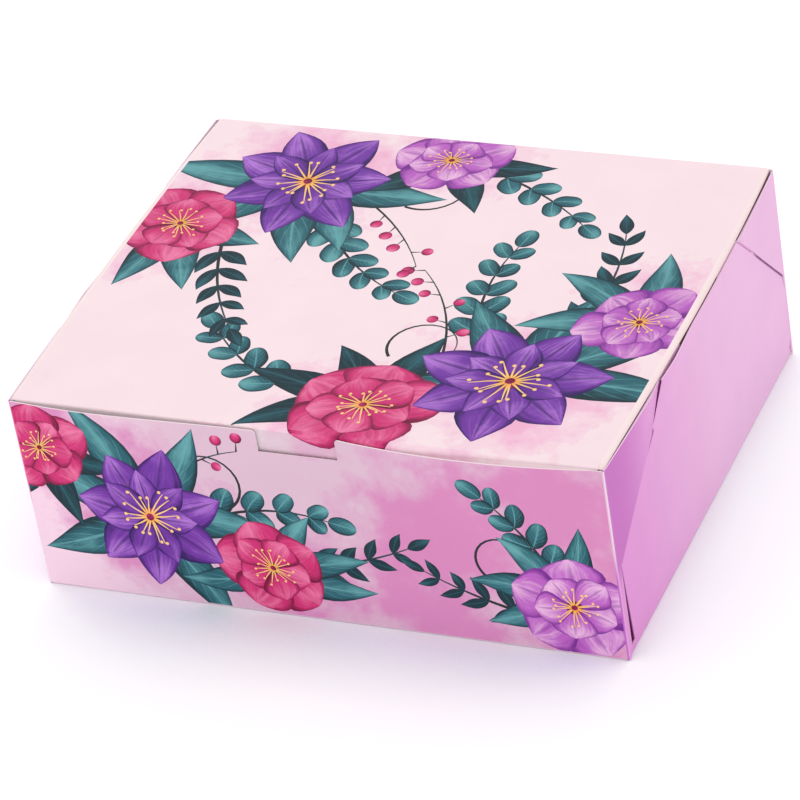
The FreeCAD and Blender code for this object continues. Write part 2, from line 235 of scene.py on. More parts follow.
class CartonBoards(bpy.types.PropertyGroup):
    """Sizes of the sheet, its die line and the way it gives when folded up."""

    thickness: length("Board", "Thickness of the boxboard", 0.0006)
    pitch: length("Pitch", "Spacing of the points that let a board bend", 0.006)
    ply_gap: length("Ply gap", "Play between plies lying on each other", 0.0002)
    lid_crown: length("Lid crown", "Rise of the lid's middle over its edges", 0.0009)
    front_bow: length("Front bow", "Outward bow of the front wall's free edge", 0.0024)
    right_bow: length("Right bow", "Outward bow of that edge right of the thumb notch", 0.0050)
    back_bow: length("Back bow", "Outward bow of the back wall's middle", 0.0005)
    side_bow: length("Side bow", "Outward bow of a side wall's free edge", 0.0028)
    corner_fold: length("Corner fold", "Reach of a side fold at the lid's corners", 0.0007)
    fold_reach: length("Fold reach", "Reach of a side fold at the lid's middle", 0.0016)
    fold_turn: length("Fold turn", "Length over which a side fold turns with its flap", 0.0009)
    fold_bulge: length("Fold bulge", "Swelling of a side fold over the wall's top", 0.0019)
    flap_taper: length("Flap taper", "Slant of a side flap's ends", 0.026)
    flap_round: length("Flap round", "Rounding of a side flap's corners", 0.008)
    notch_width: length("Notch width", "Thumb notch along the front wall", 0.040)
    notch_depth: length("Notch depth", "Thumb notch below the wall's top", 0.012)
    notch_shift: length("Notch shift", "Middle of the notch left of the wall's middle", 0.0018)
    notch_round: length("Notch round", "Rounding of the notch's mouth", 0.002)
    tuck_belly: length("Tuck belly", "Outward swelling of the tuck flap below its crease", 0.0005)
    tuck_shoulder: length("Tuck shoulder", "Slanted start of the tuck flap's ends", 0.005)
    tuck_taper: length("Tuck taper", "Slant of the tuck flap's ends", 0.005)
    tuck_round: length("Tuck round", "Rounding of the tuck flap's corners", 0.016)
    front_end_gap: length("Front end foot", "Box front to the foot of a side wall's front end", 0.0092)
    front_end_top: length("Front end", "Box front to that end from the ear's waist up", 0.0054)
    back_end_gap: length("Back end", "Box back to a side wall's back end", 0.0025)
    wall_end_flare: length("Wall flare", "Height of the slanted foot of both ends", 0.004)
    strip_slant: length("Strip slant", "Rise of the slanted foot of an ear", 0.0036)
    front_strip: length("Front strip", "Narrow lower part of a front ear, from the box front", 0.0046)
    front_waist: length("Front waist", "Height where a front ear widens", 0.0518)
    front_slit_low: length("Front slit low", "Front face to the low end of the slit", 0.056)
    front_slit_top: length("Front slit top", "Front face to the open end of the slit", 0.073)
    back_strip: length("Back strip", "Narrow lower part of a back ear, from the box back", 0.0023)
    back_waist: length("Back waist", "Height where a back ear widens", 0.0485)
    back_slit_low: length("Back slit low", "Back face to the low end of the slit", 0.042)
    back_slit_top: length("Back slit top", "Back face to the open end of the slit", 0.061)
    slit_depth: length("Slit depth", "Slit end below the side wall's top", 0.0185)
    slit_width: length("Slit width", "Slit measured along the wall", 0.0018)
    jog_width: length("Jog width", "Ear in the slit, measured along the wall", 0.0008)
    hook_drop: length("Hook drop", "Tongue below the slit's end", 0.008)
    hook_run: length("Hook run", "Slant of the tongue behind the slit's end", 0.008)
    hook_round: length("Hook round", "Rounding of the tongue's end", 0.009)
    slit_dip: length("Slit dip", "How far a front ear sinks before it passes its slit", 0.0012)
    slit_push: length("Slit push", "How far the ear's tongue pushes the wall out past the slit", 0.0014)
    push_run: length("Push run", "Length over which that push fades", 0.036)
    dip_run: length("Dip run", "Length over which an ear sinks", 0.014)
    dip_rise: length("Dip rise", "Height above the slit's end over which the sinking starts", 0.005)


class CartonInks(bpy.types.PropertyGroup):
    """Colours of the board and of the print's inks."""

    ground: colour("Ground", "Pale pink of the printed boards", (0.92, 0.735, 0.78))
    # Painted shade: the lid's ground darkened on the tuck flap, which is seen through the notch behind
    # the front wall
    tuck_ground: colour("Tuck ground", "Ground of the print on the tuck flap", (0.735, 0.615, 0.66))
    front_ground: colour("Front ground", "Pinker ground of the front wall", (0.90, 0.645, 0.77))
    # Painted shade: the front wall's ground, darker from its middle on
    front_shaded_ground: colour("Front far ground", "Front wall's ground from its middle on", (0.71, 0.49, 0.61))
    wash: colour("Wash", "Watercolour wash round the flowers", (0.83, 0.27, 0.54))
    front_wash: colour("Front wash", "Watercolour wash on the front wall", (0.67, 0.22, 0.48))
    lilac: colour("Lilac", "Plain walls towards the back", (0.80, 0.465, 0.71))
    # Painted shade: the walls' lilac, darkened towards the front
    orchid: colour("Orchid board", "Plain walls towards the front", (0.72, 0.275, 0.63))
    # Painted shade: the ears' colour darkened above the waist towards the front
    painted_ear_shade: colour("Mauve", "Corner ears towards the front", (0.55, 0.15, 0.50))
    bare: colour("Bare board", "Uncoated inside", (0.86, 0.82, 0.80))
    print_edge: colour("Printed edge", "Cut edges of the printed boards", (0.90, 0.74, 0.79))
    lilac_edge: colour("Lilac edge", "Cut edges of the plain boards", (0.87, 0.62, 0.82))
    # Painted shade: dark colour for the shadow in a slit and in the gap at a side wall's front end
    slit: colour("Slit", "Ink and shade gathered in a slit", (0.17, 0.022, 0.14))
    fold: colour("Fold", "Unprinted soft folds of the lid", (0.93, 0.77, 0.77))
    # Painted shade: reddened dark tone where a soft fold turns down into the shadowed gap over the wall
    crease: colour("Crease", "Warm tone of a soft fold along its crease", (0.64, 0.35, 0.37))
    # Painted shade: dark line on a side wall along the ears' edges, where they stand off it
    seam: colour("Seam", "Shade along the ears' edges", (0.27, 0.075, 0.25))
    # Partly the creased board's own pale line, partly a painted highlight that grows towards the top
    wear_and_highlight: colour("Wear", "Pale line where a printed corner is creased", (0.95, 0.78, 0.90))
    violet_dark: colour("Violet dark", "Shade of the violet petals", (0.030, 0.008, 0.105))
    violet_body: colour("Violet", "Body of the violet petals", (0.165, 0.035, 0.345))
    violet_light: colour("Violet light", "Light of the violet petals", (0.46, 0.19, 0.66))
    rose_dark: colour("Rose dark", "Shade of the rose petals", (0.17, 0.004, 0.040))
    rose_body: colour("Rose", "Body of the rose petals", (0.62, 0.03, 0.17))
    rose_light: colour("Rose light", "Light of the rose petals", (0.84, 0.20, 0.38))
    orchid_dark: colour("Orchid dark", "Shade of the orchid petals", (0.17, 0.02, 0.26))
    orchid_body: colour("Orchid", "Body of the orchid petals", (0.49, 0.12, 0.52))
    orchid_light: colour("Orchid light", "Light of the orchid petals", (0.83, 0.49, 0.74))
    leaf_dark: colour("Leaf dark", "Shade of the teal leaves", (0.008, 0.030, 0.042))
    leaf_body: colour("Leaf", "Body of the teal leaves", (0.022, 0.118, 0.150))
    leaf_light: colour("Leaf light", "Light of the teal leaves", (0.13, 0.38, 0.40))
    stem: colour("Stem", "Dark stems and tendrils", (0.022, 0.026, 0.030))
    stamen: colour("Stamen", "Stamens and anthers", (0.86, 0.38, 0.07))
    heart: colour("Heart", "Glow round a flower's eye", (0.95, 0.62, 0.25))


class CartonStage(bpy.types.PropertyGroup):
    """Camera, floor and light."""

    azimuth: degrees("Azimuth", "Camera round the carton from the front", 27.198)
    elevation: degrees("Elevation", "Camera above the horizon", 34.754)
    roll: degrees("Roll", "Camera turned about its axis", -9.785)
    distance: length("Distance", "Camera to the point it looks at", 2.19)
    target: FloatVectorProperty(
        name="Target", description="Point at the middle of the picture",
        default=(-0.00478, -0.00801, 0.04521), size=3, subtype="TRANSLATION", unit="LENGTH"
    )
    lens: number("Lens", "Focal length in millimetres", 202.52)
    floor: colour("Floor", "Pale studio floor", (0.93, 0.93, 0.94))
    # Painted shadow: the floor's colour close before the carton
    floor_shade: colour("Floor shade", "Floor close before the carton", (0.80, 0.83, 0.95))
    # Painted light: a cool glow beside the carton against the pink light that the wall throws
    floor_cool_glow: colour("Floor cool", "Cool glow of the floor beside the carton", (0.05, 0.18, 0.12))
    floor_size: length("Floor size", "Side of the floor", 12.0)
    floor_glow: number("Floor glow", "Light of the floor away from the carton", 0.17)
    glow_reach: length("Glow reach", "Width of the shade round the carton", 0.12)
    sky: number("Sky", "Even light from all round", 0.94)
    key: number("Key", "Power of the overhead soft box", 8.0)
    fill: number("Fill", "Power of the front soft box", 6.0)


# Frame helpers


def box_half():
    """Give half the carton's width and depth, and its height."""
    return tuple(CAD_BOX[1])


def boards(context):
    """Give the board sizes."""
    return context.scene.carton_boards


def inks(context):
    """Give the colours."""
    return context.scene.carton_inks


# Node helpers


def feed(tree, socket, value):
    """Link a socket to another one or set its value; a colour also gets its alpha."""
    if isinstance(value, bpy.types.NodeSocket):
        tree.links.new(value, socket)
    elif socket.type == "RGBA":
        socket.default_value = (*value, 1.0)
    else:
        socket.default_value = value


def add_node(tree, kind, inputs=None, **settings):
    """Add a shader node, set its settings and feed its inputs."""
    node = tree.nodes.new(kind)
    for name, value in settings.items():
        setattr(node, name, value)
    for key, value in (inputs or {}).items():
        feed(tree, node.inputs[key], value)
    return node


def calc(tree, operation, first, second=0.0, third=0.0, clamp=False):
    """Add a math node and give its result."""
    inputs = {0: first, 1: second, 2: third}
    return add_node(tree, "ShaderNodeMath", inputs, operation=operation, use_clamp=clamp).outputs[0]


def ramp(tree, value, low, high, smooth=True):
    """Map a value from low to high onto 0 to 1."""
    kind = "SMOOTHSTEP" if smooth else "LINEAR"
    inputs = {"Value": value, "From Min": low, "From Max": high}
    return add_node(tree, "ShaderNodeMapRange", inputs, interpolation_type=kind).outputs["Result"]


def mix(tree, factor, first, second, blend="MIX"):
    """Mix two colours."""
    inputs = {0: factor, 6: first, 7: second}
    return add_node(tree, "ShaderNodeMix", inputs, data_type="RGBA", blend_type=blend).outputs[2]


def new_group(name, colours, numbers, outputs):
    """Start a shader node group; give its tree, the values that come in and the sockets that go out."""
    tree = bpy.data.node_groups.new(name, "ShaderNodeTree")
    for label in colours:
        tree.interface.new_socket(label, in_out="INPUT", socket_type="NodeSocketColor")
    for label in numbers:
        tree.interface.new_socket(label, in_out="INPUT", socket_type="NodeSocketFloat")
    for label, kind in outputs.items():
        tree.interface.new_socket(label, in_out="OUTPUT", socket_type=kind)
    return tree, tree.nodes.new("NodeGroupInput").outputs, tree.nodes.new("NodeGroupOutput").inputs


def object_coordinates(tree):
    """Give the object's own coordinates, in metres."""
    return tree.nodes.new("ShaderNodeTexCoord").outputs["Object"]


def coordinate(tree, axis):
    """Give one of the object's own coordinates, in metres."""
    return add_node(tree, "ShaderNodeSeparateXYZ", {"Vector": object_coordinates(tree)}).outputs[axis]


def part_along(tree, vector, axis):
    """Give the part of a vector that lies along an axis."""
    inputs = {0: vector, 1: axis}
    return add_node(tree, "ShaderNodeVectorMath", inputs, operation="DOT_PRODUCT").outputs["Value"]


def normal_along(tree, axis):
    """Give the part of a face's normal that lies along an axis of the object."""
    return part_along(tree, tree.nodes.new("ShaderNodeTexCoord").outputs["Normal"], axis)


def noise(tree, vector, scale, detail, roughness):
    """Add a noise texture and give its value, centred on zero."""
    inputs = {"Vector": vector, "Scale": scale, "Detail": detail, "Roughness": roughness}
    return calc(tree, "SUBTRACT", add_node(tree, "ShaderNodeTexNoise", inputs).outputs["Fac"], 0.5)


# Patterns

# Scale, detail and roughness of the sheet's fibres and clouds, an ink's streaks and blots, and a wash
FIBRES = (2600.0, 4.0, 0.6)
CLOUDS = (34.0, 3.0, 0.5)
STREAKS = (1.7, 4.0, 0.62)
BLOTS = (90.0, 3.0, 0.5)
POOLS = (46.0, 5.0, 0.62)
DRIFTS = (15.0, 2.0, 0.5)

# Shares of fibres and clouds in the sheet's relief, its height, and what the fibres change of the gloss
RELIEF_SHARES = (0.7, 0.3)
RELIEF_HEIGHT = 0.00008
FIBRE_GLOSS = 0.25

# Stretch of the streaks across and along a painted shape, and their shift by its tone
STREAK_STRETCH = (5.0, 1.3, 41.0)
# Share of a shape's length over which its shade lightens
SHADE_RUN = 0.72
# Weight of that rise, of the shape's tone, its hollow sides, its blots and its lit side in its lightness
RISE_WEIGHT = 0.70
TONE_WEIGHT = 0.30
HOLLOW_WEIGHT = -0.45
BLOT_WEIGHT = 0.55
LIT_WEIGHT = 0.13
# Lightness over which shade turns to body, and body to light
BODY_SPAN = (0.02, 0.50)
LIGHT_SPAN = (0.48, 1.05)
# Side veins along a leaf, their slant, their width, and the share of the half width where they end
VEIN_COUNT = 9.0
VEIN_SLANT = -2.2
VEIN_WIDTH = (0.10, 0.0)
VEIN_ENDS = (0.95, 0.55)
# Width of a shape's rib and the share of the length where it ends
RIB_WIDTH = (0.11, 0.02)
RIB_END = (1.0, 0.70)
# Shares of half width and length where a shape's dark rim begins, its strength and how streaks change it
RIM_SIDE = (0.74, 1.0)
RIM_TIP = (0.95, 1.0)
RIM_STRENGTH = 0.75
RIM_STREAKS = 0.8

# Weight of pools and drifts in a wash, the wetness over which it sets in, and its tide line
POOL_WEIGHT = 1.5
DRIFT_WEIGHT = 0.6
WET_SPAN = (0.30, 0.95)
TIDE_LEVEL = 0.46
TIDE_WIDTH = (0.05, 0.0)
TIDE_STRENGTH = 0.10


def paper_group():
    """Make the shared feel of the sheet: fibre relief, calender gloss and a little mottle."""
    name = "CartonPaper"
    if name in bpy.data.node_groups:
        return bpy.data.node_groups[name]
    outputs = {"Normal": "NodeSocketVector", "Roughness": "NodeSocketFloat", "Mottle": "NodeSocketFloat"}
    tree, entry, leave = new_group(name, (), ("Gloss", "Relief"), outputs)
    place = object_coordinates(tree)
    fibre = noise(tree, place, *FIBRES)
    cloud = noise(tree, place, *CLOUDS)
    relief = calc(tree, "MULTIPLY", cloud, RELIEF_SHARES[1])
    relief = calc(tree, "MULTIPLY_ADD", fibre, RELIEF_SHARES[0], relief)
    heights = {"Strength": entry["Relief"], "Distance": RELIEF_HEIGHT, "Height": relief}
    feed(tree, leave["Normal"], add_node(tree, "ShaderNodeBump", heights).outputs["Normal"])
    feed(tree, leave["Roughness"], calc(tree, "MULTIPLY_ADD", fibre, FIBRE_GLOSS, entry["Gloss"]))
    feed(tree, leave["Mottle"], cloud)
    return tree


def brush_group():
    """Make the painter's hand: shade, light, streaks, rib, side veins and a dark rim along one shape."""
    name = "CartonBrush"
    if name in bpy.data.node_groups:
        return bpy.data.node_groups[name]
    tree, entry, leave = new_group(name, BRUSH_COLOURS, BRUSH_NUMBERS, {"Colour": "NodeSocketColor"})
    uv = add_node(tree, "ShaderNodeUVMap", uv_map="Print").outputs["UV"]
    tone = add_node(tree, "ShaderNodeAttribute", attribute_name="Tone").outputs["Fac"]
    parts = add_node(tree, "ShaderNodeSeparateXYZ", {"Vector": uv}).outputs
    across = calc(tree, "MULTIPLY_ADD", parts["X"], 2.0, -1.0)
    along = parts["Y"]
    side = calc(tree, "ABSOLUTE", across)

    grain = {
        axis: calc(tree, "MULTIPLY", value, stretch)
        for axis, value, stretch in zip("XYZ", (across, along, tone), STREAK_STRETCH)
    }
    streak = noise(tree, add_node(tree, "ShaderNodeCombineXYZ", grain).outputs["Vector"], *STREAKS)
    blot = noise(tree, object_coordinates(tree), *BLOTS)

    shade_end = calc(tree, "ADD", entry["Root"], SHADE_RUN)
    rise = ramp(tree, along, entry["Root"], shade_end, smooth=False)
    level = calc(tree, "MULTIPLY", calc(tree, "MULTIPLY", side, side), HOLLOW_WEIGHT)
    for value, weight in (
        (tone, TONE_WEIGHT), (rise, RISE_WEIGHT), (streak, entry["Streaks"]),
        (blot, BLOT_WEIGHT), (across, LIT_WEIGHT),
    ):
        level = calc(tree, "MULTIPLY_ADD", value, weight, level)
    paint = mix(tree, ramp(tree, level, *BODY_SPAN), entry["Dark"], entry["Body"])
    paint = mix(tree, ramp(tree, level, *LIGHT_SPAN), paint, entry["Light"])

    wave = calc(tree, "MULTIPLY_ADD", along, VEIN_COUNT, calc(tree, "MULTIPLY", side, VEIN_SLANT))
    from_line = calc(tree, "ABSOLUTE", calc(tree, "SUBTRACT", calc(tree, "FRACT", wave), 0.5))
    vein = calc(tree, "MULTIPLY", ramp(tree, from_line, *VEIN_WIDTH), ramp(tree, side, *VEIN_ENDS))
    paint = mix(tree, calc(tree, "MULTIPLY", vein, entry["Veins"]), paint, entry["Line"])
    rib = calc(tree, "MULTIPLY", ramp(tree, side, *RIB_WIDTH), ramp(tree, along, *RIB_END))
    paint = mix(tree, calc(tree, "MULTIPLY", rib, entry["Rib"]), paint, entry["Line"])

    rim = calc(tree, "MAXIMUM", ramp(tree, side, *RIM_SIDE), ramp(tree, along, *RIM_TIP))
    strength = calc(tree, "MULTIPLY_ADD", streak, RIM_STREAKS, RIM_STRENGTH)
    rim = calc(tree, "MULTIPLY", rim, strength, clamp=True)
    feed(tree, leave["Colour"], mix(tree, rim, paint, entry["Dark"]))
    return tree


def ground_group():
    """Make the printed ground: a pale sheet with watercolour washes where the Wash attribute rises."""
    name = "CartonGround"
    if name in bpy.data.node_groups:
        return bpy.data.node_groups[name]
    tree, entry, leave = new_group(name, ("Ground", "Wash"), ("Depth",), {"Colour": "NodeSocketColor"})
    wet = add_node(tree, "ShaderNodeAttribute", attribute_name="Wash").outputs["Fac"]
    place = object_coordinates(tree)
    wet = calc(tree, "MULTIPLY_ADD", noise(tree, place, *POOLS), POOL_WEIGHT, wet)
    wet = calc(tree, "MULTIPLY_ADD", noise(tree, place, *DRIFTS), DRIFT_WEIGHT, wet)
    from_tide = calc(tree, "ABSOLUTE", calc(tree, "SUBTRACT", wet, TIDE_LEVEL))
    tide = ramp(tree, from_tide, *TIDE_WIDTH)
    washed = calc(tree, "MULTIPLY", ramp(tree, wet, *WET_SPAN), entry["Depth"])
    strength = calc(tree, "MULTIPLY_ADD", tide, TIDE_STRENGTH, washed, clamp=True)
    feed(tree, leave["Colour"], mix(tree, strength, entry["Ground"], entry["Wash"]))
    return tree


# Materials


def new_material(name, gloss=0.45, relief=0.2):
    """Start a board material and give its tree, its shader and its paper node."""
    material = bpy.data.materials.new(name)
    material.use_nodes = True
    tree = material.node_tree
    shader = tree.nodes["Principled BSDF"]
    shader.inputs["Specular IOR Level"].default_value = 0.15
    feel = {"Gloss": gloss, "Relief": relief}
    paper = add_node(tree, "ShaderNodeGroup", feel, node_tree=paper_group())
    feed(tree, shader.inputs["Normal"], paper.outputs["Normal"])
    feed(tree, shader.inputs["Roughness"], paper.outputs["Roughness"])
    return material, tree, shader, paper


def lay_paint(tree, shader, paper, paint, mottle=0.10):
    """Colour a board with a paint that the sheet's mottle shifts a little."""
    shift = calc(tree, "MULTIPLY_ADD", paper.outputs["Mottle"], mottle, 1.0)
    shades = {"Red": shift, "Green": shift, "Blue": shift}
    grey = add_node(tree, "ShaderNodeCombineColor", shades).outputs["Color"]
    feed(tree, shader.inputs["Base Color"], mix(tree, 1.0, paint, grey, blend="MULTIPLY"))


def plain_material(name, paint, gloss, relief=0.2):
    """Make an evenly coloured board."""
    if name in bpy.data.materials:
        return bpy.data.materials[name]
    material, tree, shader, paper = new_material(name, gloss, relief)
    lay_paint(tree, shader, paper, paint)
    return material


def facing(tree, axis):
    """Give 1 on faces that look along an axis of the object, and 0 on the others."""
    return ramp(tree, normal_along(tree, axis), *FACING_SPAN)


def two_sided_material(name, outer, other, axis):
    """Make a board with one colour on the side that looks along an axis and another elsewhere."""
    material, tree, shader, paper = new_material(name)
    lay_paint(tree, shader, paper, mix(tree, facing(tree, axis), other, outer))
    return material


def lilac_paint(tree, tones):
    """Give the plain walls' colour: lilac, darkened to orchid towards the front as painted shade."""
    return mix(tree, ramp(tree, coordinate(tree, "Y"), *LILAC_SPAN), tones.lilac, tones.orchid)


def ear_paint(tree, tones):
    """Give the ears' colour, which is the walls' but darkens further above the waist at the front as
    painted shade.
    """
    front = ramp(tree, coordinate(tree, "Y"), *EAR_SHADE_DEPTHS)
    upper = ramp(tree, coordinate(tree, "Z"), *EAR_SHADE_HEIGHTS)
    return mix(tree, calc(tree, "MULTIPLY", front, upper), lilac_paint(tree, tones), tones.painted_ear_shade)


def shade_line(tree, start, end, fade):
    """Give a mask along one side of a line seen from the side of the box, which fades before its end."""
    start = Vector((0.0, *start))
    end = Vector((0.0, *end))
    reach = (end - start).length
    along = (end - start).normalized()
    across = Vector((0.0, -along.z, along.y))
    inputs = {0: object_coordinates(tree), 1: start}
    spot = add_node(tree, "ShaderNodeVectorMath", inputs, operation="SUBTRACT").outputs[0]
    run = part_along(tree, spot, along)
    begin = ramp(tree, run, -SHADE_START, SHADE_START)
    ends = calc(tree, "MULTIPLY", begin, ramp(tree, run, reach, reach - fade))
    side = ramp(tree, part_along(tree, spot, across), SHADE_WIDTH, SHADE_CORE)
    return calc(tree, "MULTIPLY", side, ends)


def wall_paint(tree, tones):
    """Give a side wall's colour, shaded by its back ear, below its front slit and at its front end."""
    sizes = boards(bpy.context)
    depth = box_half()[1]
    wall_low, wall_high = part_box("right_wall")
    slit_end = wall_high.z - sizes.slit_depth
    back_waist = (depth - sizes.back_strip, sizes.back_waist)
    back_slit = (depth - sizes.back_slit_low, slit_end)
    front_waist = (sizes.front_end_top - depth, sizes.front_waist)
    front_foot = (sizes.front_end_gap - depth, wall_low.z + sizes.wall_end_flare)
    front_slit = Vector((sizes.front_slit_low - depth, slit_end))
    below_slit = front_slit + SLIT_SHADE * (Vector(front_waist) - front_slit).normalized()
    front_slit.x += SHADE_STEPS[0]
    below_slit.x += SHADE_STEPS[1]
    paint = lilac_paint(tree, tones)
    # Painted shade lines: along the back ear, below the front slit, and in the gap at the front end
    lines = (
        (back_waist, back_slit, tones.seam),
        (front_slit, below_slit, tones.seam),
        (front_waist, front_foot, tones.slit),
    )
    for (start, end, shade), fade in zip(lines, SHADE_FADES):
        paint = mix(tree, shade_line(tree, start, end, fade), paint, shade)
    return paint


def fold_material(context):
    """Make the lid's unprinted side folds, with a reddish painted shade along their crease."""
    tones = inks(context)
    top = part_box("lid_panel")[1].z
    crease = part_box("right_flap")[1].z
    material, tree, shader, paper = new_material("pale_fold", gloss=0.40)
    height = coordinate(tree, "Z")
    above = ramp(tree, height, top, crease)
    below = ramp(tree, height, crease - FOLD_SHADE_SPAN[0], crease - FOLD_SHADE_SPAN[1])
    fold_shade = calc(tree, "MULTIPLY", above, below)
    lay_paint(tree, shader, paper, mix(tree, fold_shade, tones.fold, tones.crease))
    return material


def corner_material(name, tones, hand, ground, foot):
    """Make a front corner's crease: print in two tones in front, lilac at the side, and in between a
    pale line of creased board with a painted highlight.
    """
    material, tree, shader, paper = new_material(name)
    height = coordinate(tree, "Z")
    front = mix(tree, ramp(tree, height, *CORNER_HEIGHTS), ground, foot)
    paint = mix(tree, facing(tree, (0.0, -1.0, 0.0)), ear_paint(tree, tones), front)
    slope = math.sqrt(0.5)
    outward = normal_along(tree, (hand * slope, -slope, 0.0))
    low, gain = WEAR_HIGHLIGHT_STRENGTH
    strength = calc(tree, "MULTIPLY_ADD", ramp(tree, height, *WEAR_HIGHLIGHT_HEIGHTS), gain, low)
    worn_and_lit = calc(tree, "MULTIPLY", ramp(tree, outward, *WEAR_HIGHLIGHT_SPAN), strength)
    lay_paint(tree, shader, paper, mix(tree, worn_and_lit, paint, tones.wear_and_highlight))
    return material


def ground_material(name, ground, far, wash, depth):
    """Make a board's printed ground, with a wash of some depth; far is its tone from the middle on,
    which on the front wall is darker as painted shade.
    """
    material, tree, shader, paper = new_material(name)
    sheet = mix(tree, ramp(tree, coordinate(tree, "X"), *FRONT_SHADE_SPAN), ground, far)
    inputs = {"Ground": sheet, "Wash": wash, "Depth": depth}
    group = add_node(tree, "ShaderNodeGroup", inputs, node_tree=ground_group())
    lay_paint(tree, shader, paper, group.outputs["Colour"], mottle=0.08)
    return material


def ink_material(ink, tones):
    """Make one of the painted inks."""
    name = f"ink_{ink}"
    if name in bpy.data.materials:
        return bpy.data.materials[name]
    material, tree, shader, _ = new_material(name)
    row = INKS[ink]
    inputs = {label: getattr(tones, tone) for label, tone in zip(BRUSH_COLOURS, row)}
    inputs.update(zip(BRUSH_NUMBERS, row[len(BRUSH_COLOURS):]))
    brush = add_node(tree, "ShaderNodeGroup", inputs, node_tree=brush_group())
    feed(tree, shader.inputs["Base Color"], brush.outputs["Colour"])
    return material


# Painted shapes


def wedge_form(share):
    """Half width along a broad petal, widest towards its tip."""
    return np.sin(math.pi * (0.03 + 0.97 * share) ** 1.55) ** 0.72


def star_form(share):
    """Half width along a pointed petal."""
    return np.sin(math.pi * (0.05 + 0.95 * share) ** 1.15) ** 0.95


def leaf_form(share):
    """Half width along a pointed leaf, widest below its middle."""
    return np.sin(math.pi * share ** 0.82) ** 1.05


def coin_form(share):
    """Half width along a round leaf or a dot."""
    return np.sqrt(np.clip(1 - (2 * share - 1) ** 2, 0, 1))


def stem_form(share):
    """Half width along a stem that thins towards its end."""
    return 1.0 - 0.7 * share


# Form, ink and fatness of a sprig's round leaves and of its long ones
ROUND_LEAVES = (coin_form, "leaf", 0.72)
LONG_LEAVES = (leaf_form, "shade_leaf", 0.42)


def unit(angle):
    """Give the direction of an angle."""
    return np.array((math.cos(angle), math.sin(angle)))


def spine_from(start, heading, reach, bend, share):
    """Walk a spine from a point through shares of its length, turning evenly by bend."""
    turns = heading + bend * (share[1:] + share[:-1]) / 2
    steps = np.stack((np.cos(turns), np.sin(turns)), axis=1) * np.diff(share)[:, None] * reach
    return np.asarray(start) + np.vstack((np.zeros(2), np.cumsum(steps, axis=0)))


def stroke(start, heading, reach, width, form, ink, tone, bend=0.0, count=16, ripple=0.0):
    """Draw one shape along a spine."""
    share = 0.5 - 0.5 * np.cos(math.pi * np.linspace(0, 1, count))
    widths = 0.5 * width * form(share) * (1 + ripple * np.sin(11 * share + 50 * tone))
    return Shape(spine_from(start, heading, reach, bend, share), widths, ink, tone)


def spine_normals(spine):
    """Give the unit normals along a spine."""
    slope = np.gradient(spine, axis=0)
    slope /= np.linalg.norm(slope, axis=1, keepdims=True)
    return np.stack((-slope[:, 1], slope[:, 0]), axis=1)


def spine_at(spine, share):
    """Give the point at a share of a spine's length."""
    run = np.append(0, np.cumsum(np.linalg.norm(np.diff(spine, axis=0), axis=1)))
    return np.array([np.interp(share * run[-1], run, spine[:, axis]) for axis in (0, 1)])


def tilted(shape, centre, squash, axis):
    """See a shape from the side: squash it towards a line through a flower's centre."""
    across = unit(axis + math.pi / 2)
    flatten = np.eye(2) - (1 - squash) * np.outer(across, across)
    stretch = np.linalg.norm(spine_normals(shape.spine) @ flatten, axis=1)
    spine = (shape.spine - centre) @ flatten + centre
    return shape._replace(spine=spine, widths=shape.widths * stretch)


def flower(centre, radius, petals, form, fatness, ink, rng, squash, axis):
    """Draw an open flower seen aslant: rings of petals, a dark eye and a crown of stamens."""
    centre = np.asarray(centre)
    turn = rng.uniform(0, FULL_TURN)
    drawn = []
    for layer in range(RINGS):
        size = radius * (1.0 - RING_STEP * layer)
        order = list(range(0, petals, 2)) + list(range(1, petals, 2))
        for index in order:
            heading = turn + FULL_TURN * (index + 0.5 * layer) / petals + rng.uniform(-0.07, 0.07)
            reach = size * rng.uniform(0.93, 1.04)
            width = size * fatness * rng.uniform(0.94, 1.06)
            tone = rng.uniform(0.1, 0.75) + 0.15 * layer
            bend = rng.uniform(-0.22, 0.22)
            drawn.append(stroke(centre, heading, reach, width, form, ink, tone, bend, ripple=0.035))
    eye = radius * EYE_SHARE
    edge = centre - unit(turn) * eye
    drawn.append(stroke(edge, turn, 2 * eye, 2 * eye, coin_form, "eye", rng.random()))
    thread = radius * THREAD_SHARE
    dot = radius * DOT_SHARE
    for index in range(STAMENS):
        heading = turn + FULL_TURN * index / STAMENS + rng.uniform(-0.12, 0.12)
        reach = radius * rng.uniform(0.20, 0.36)
        bend = rng.uniform(-0.3, 0.3)
        root = centre + unit(heading) * radius * ROOT_SHARE
        tip = root + unit(heading) * reach
        foot = tip - unit(heading) * dot * 0.5
        drawn.append(stroke(root, heading, reach, thread, stem_form, "stamen", 0.3, bend, 5))
        drawn.append(stroke(foot, heading, dot, dot, coin_form, "stamen", 0.9, count=7))
    return [tilted(item, centre, squash, axis) for item in drawn]


def sprig(start, heading, reach, bend, pairs, leaf, kind, rng):
    """Draw a stem with pairs of leaves of one kind and one at its end."""
    form, ink, fatness = kind
    stem = stroke(start, heading, reach, SPRIG_STEM, stem_form, "stem", 0.4, bend)
    drawn = [stem]
    for pair in range(pairs):
        share = (pair + 0.75) / (pairs + 0.35)
        spot = spine_at(stem.spine, share)
        along = heading + bend * share
        size = leaf * (1.0 - 0.35 * share)
        for hand in (-1, 1):
            turn = along + hand * (LEAF_OPENING + rng.uniform(-0.12, 0.12))
            run = size * rng.uniform(0.9, 1.1)
            tone = rng.uniform(0, 0.9)
            curl = -hand * rng.uniform(0.1, 0.5)
            drawn.append(stroke(spot, turn, run, size * fatness, form, ink, tone, curl, ripple=0.03))
    last = leaf * 0.8
    drawn.append(stroke(stem.spine[-1], heading + bend, last, last * fatness, form, ink, 0.6, 0.1))
    return drawn


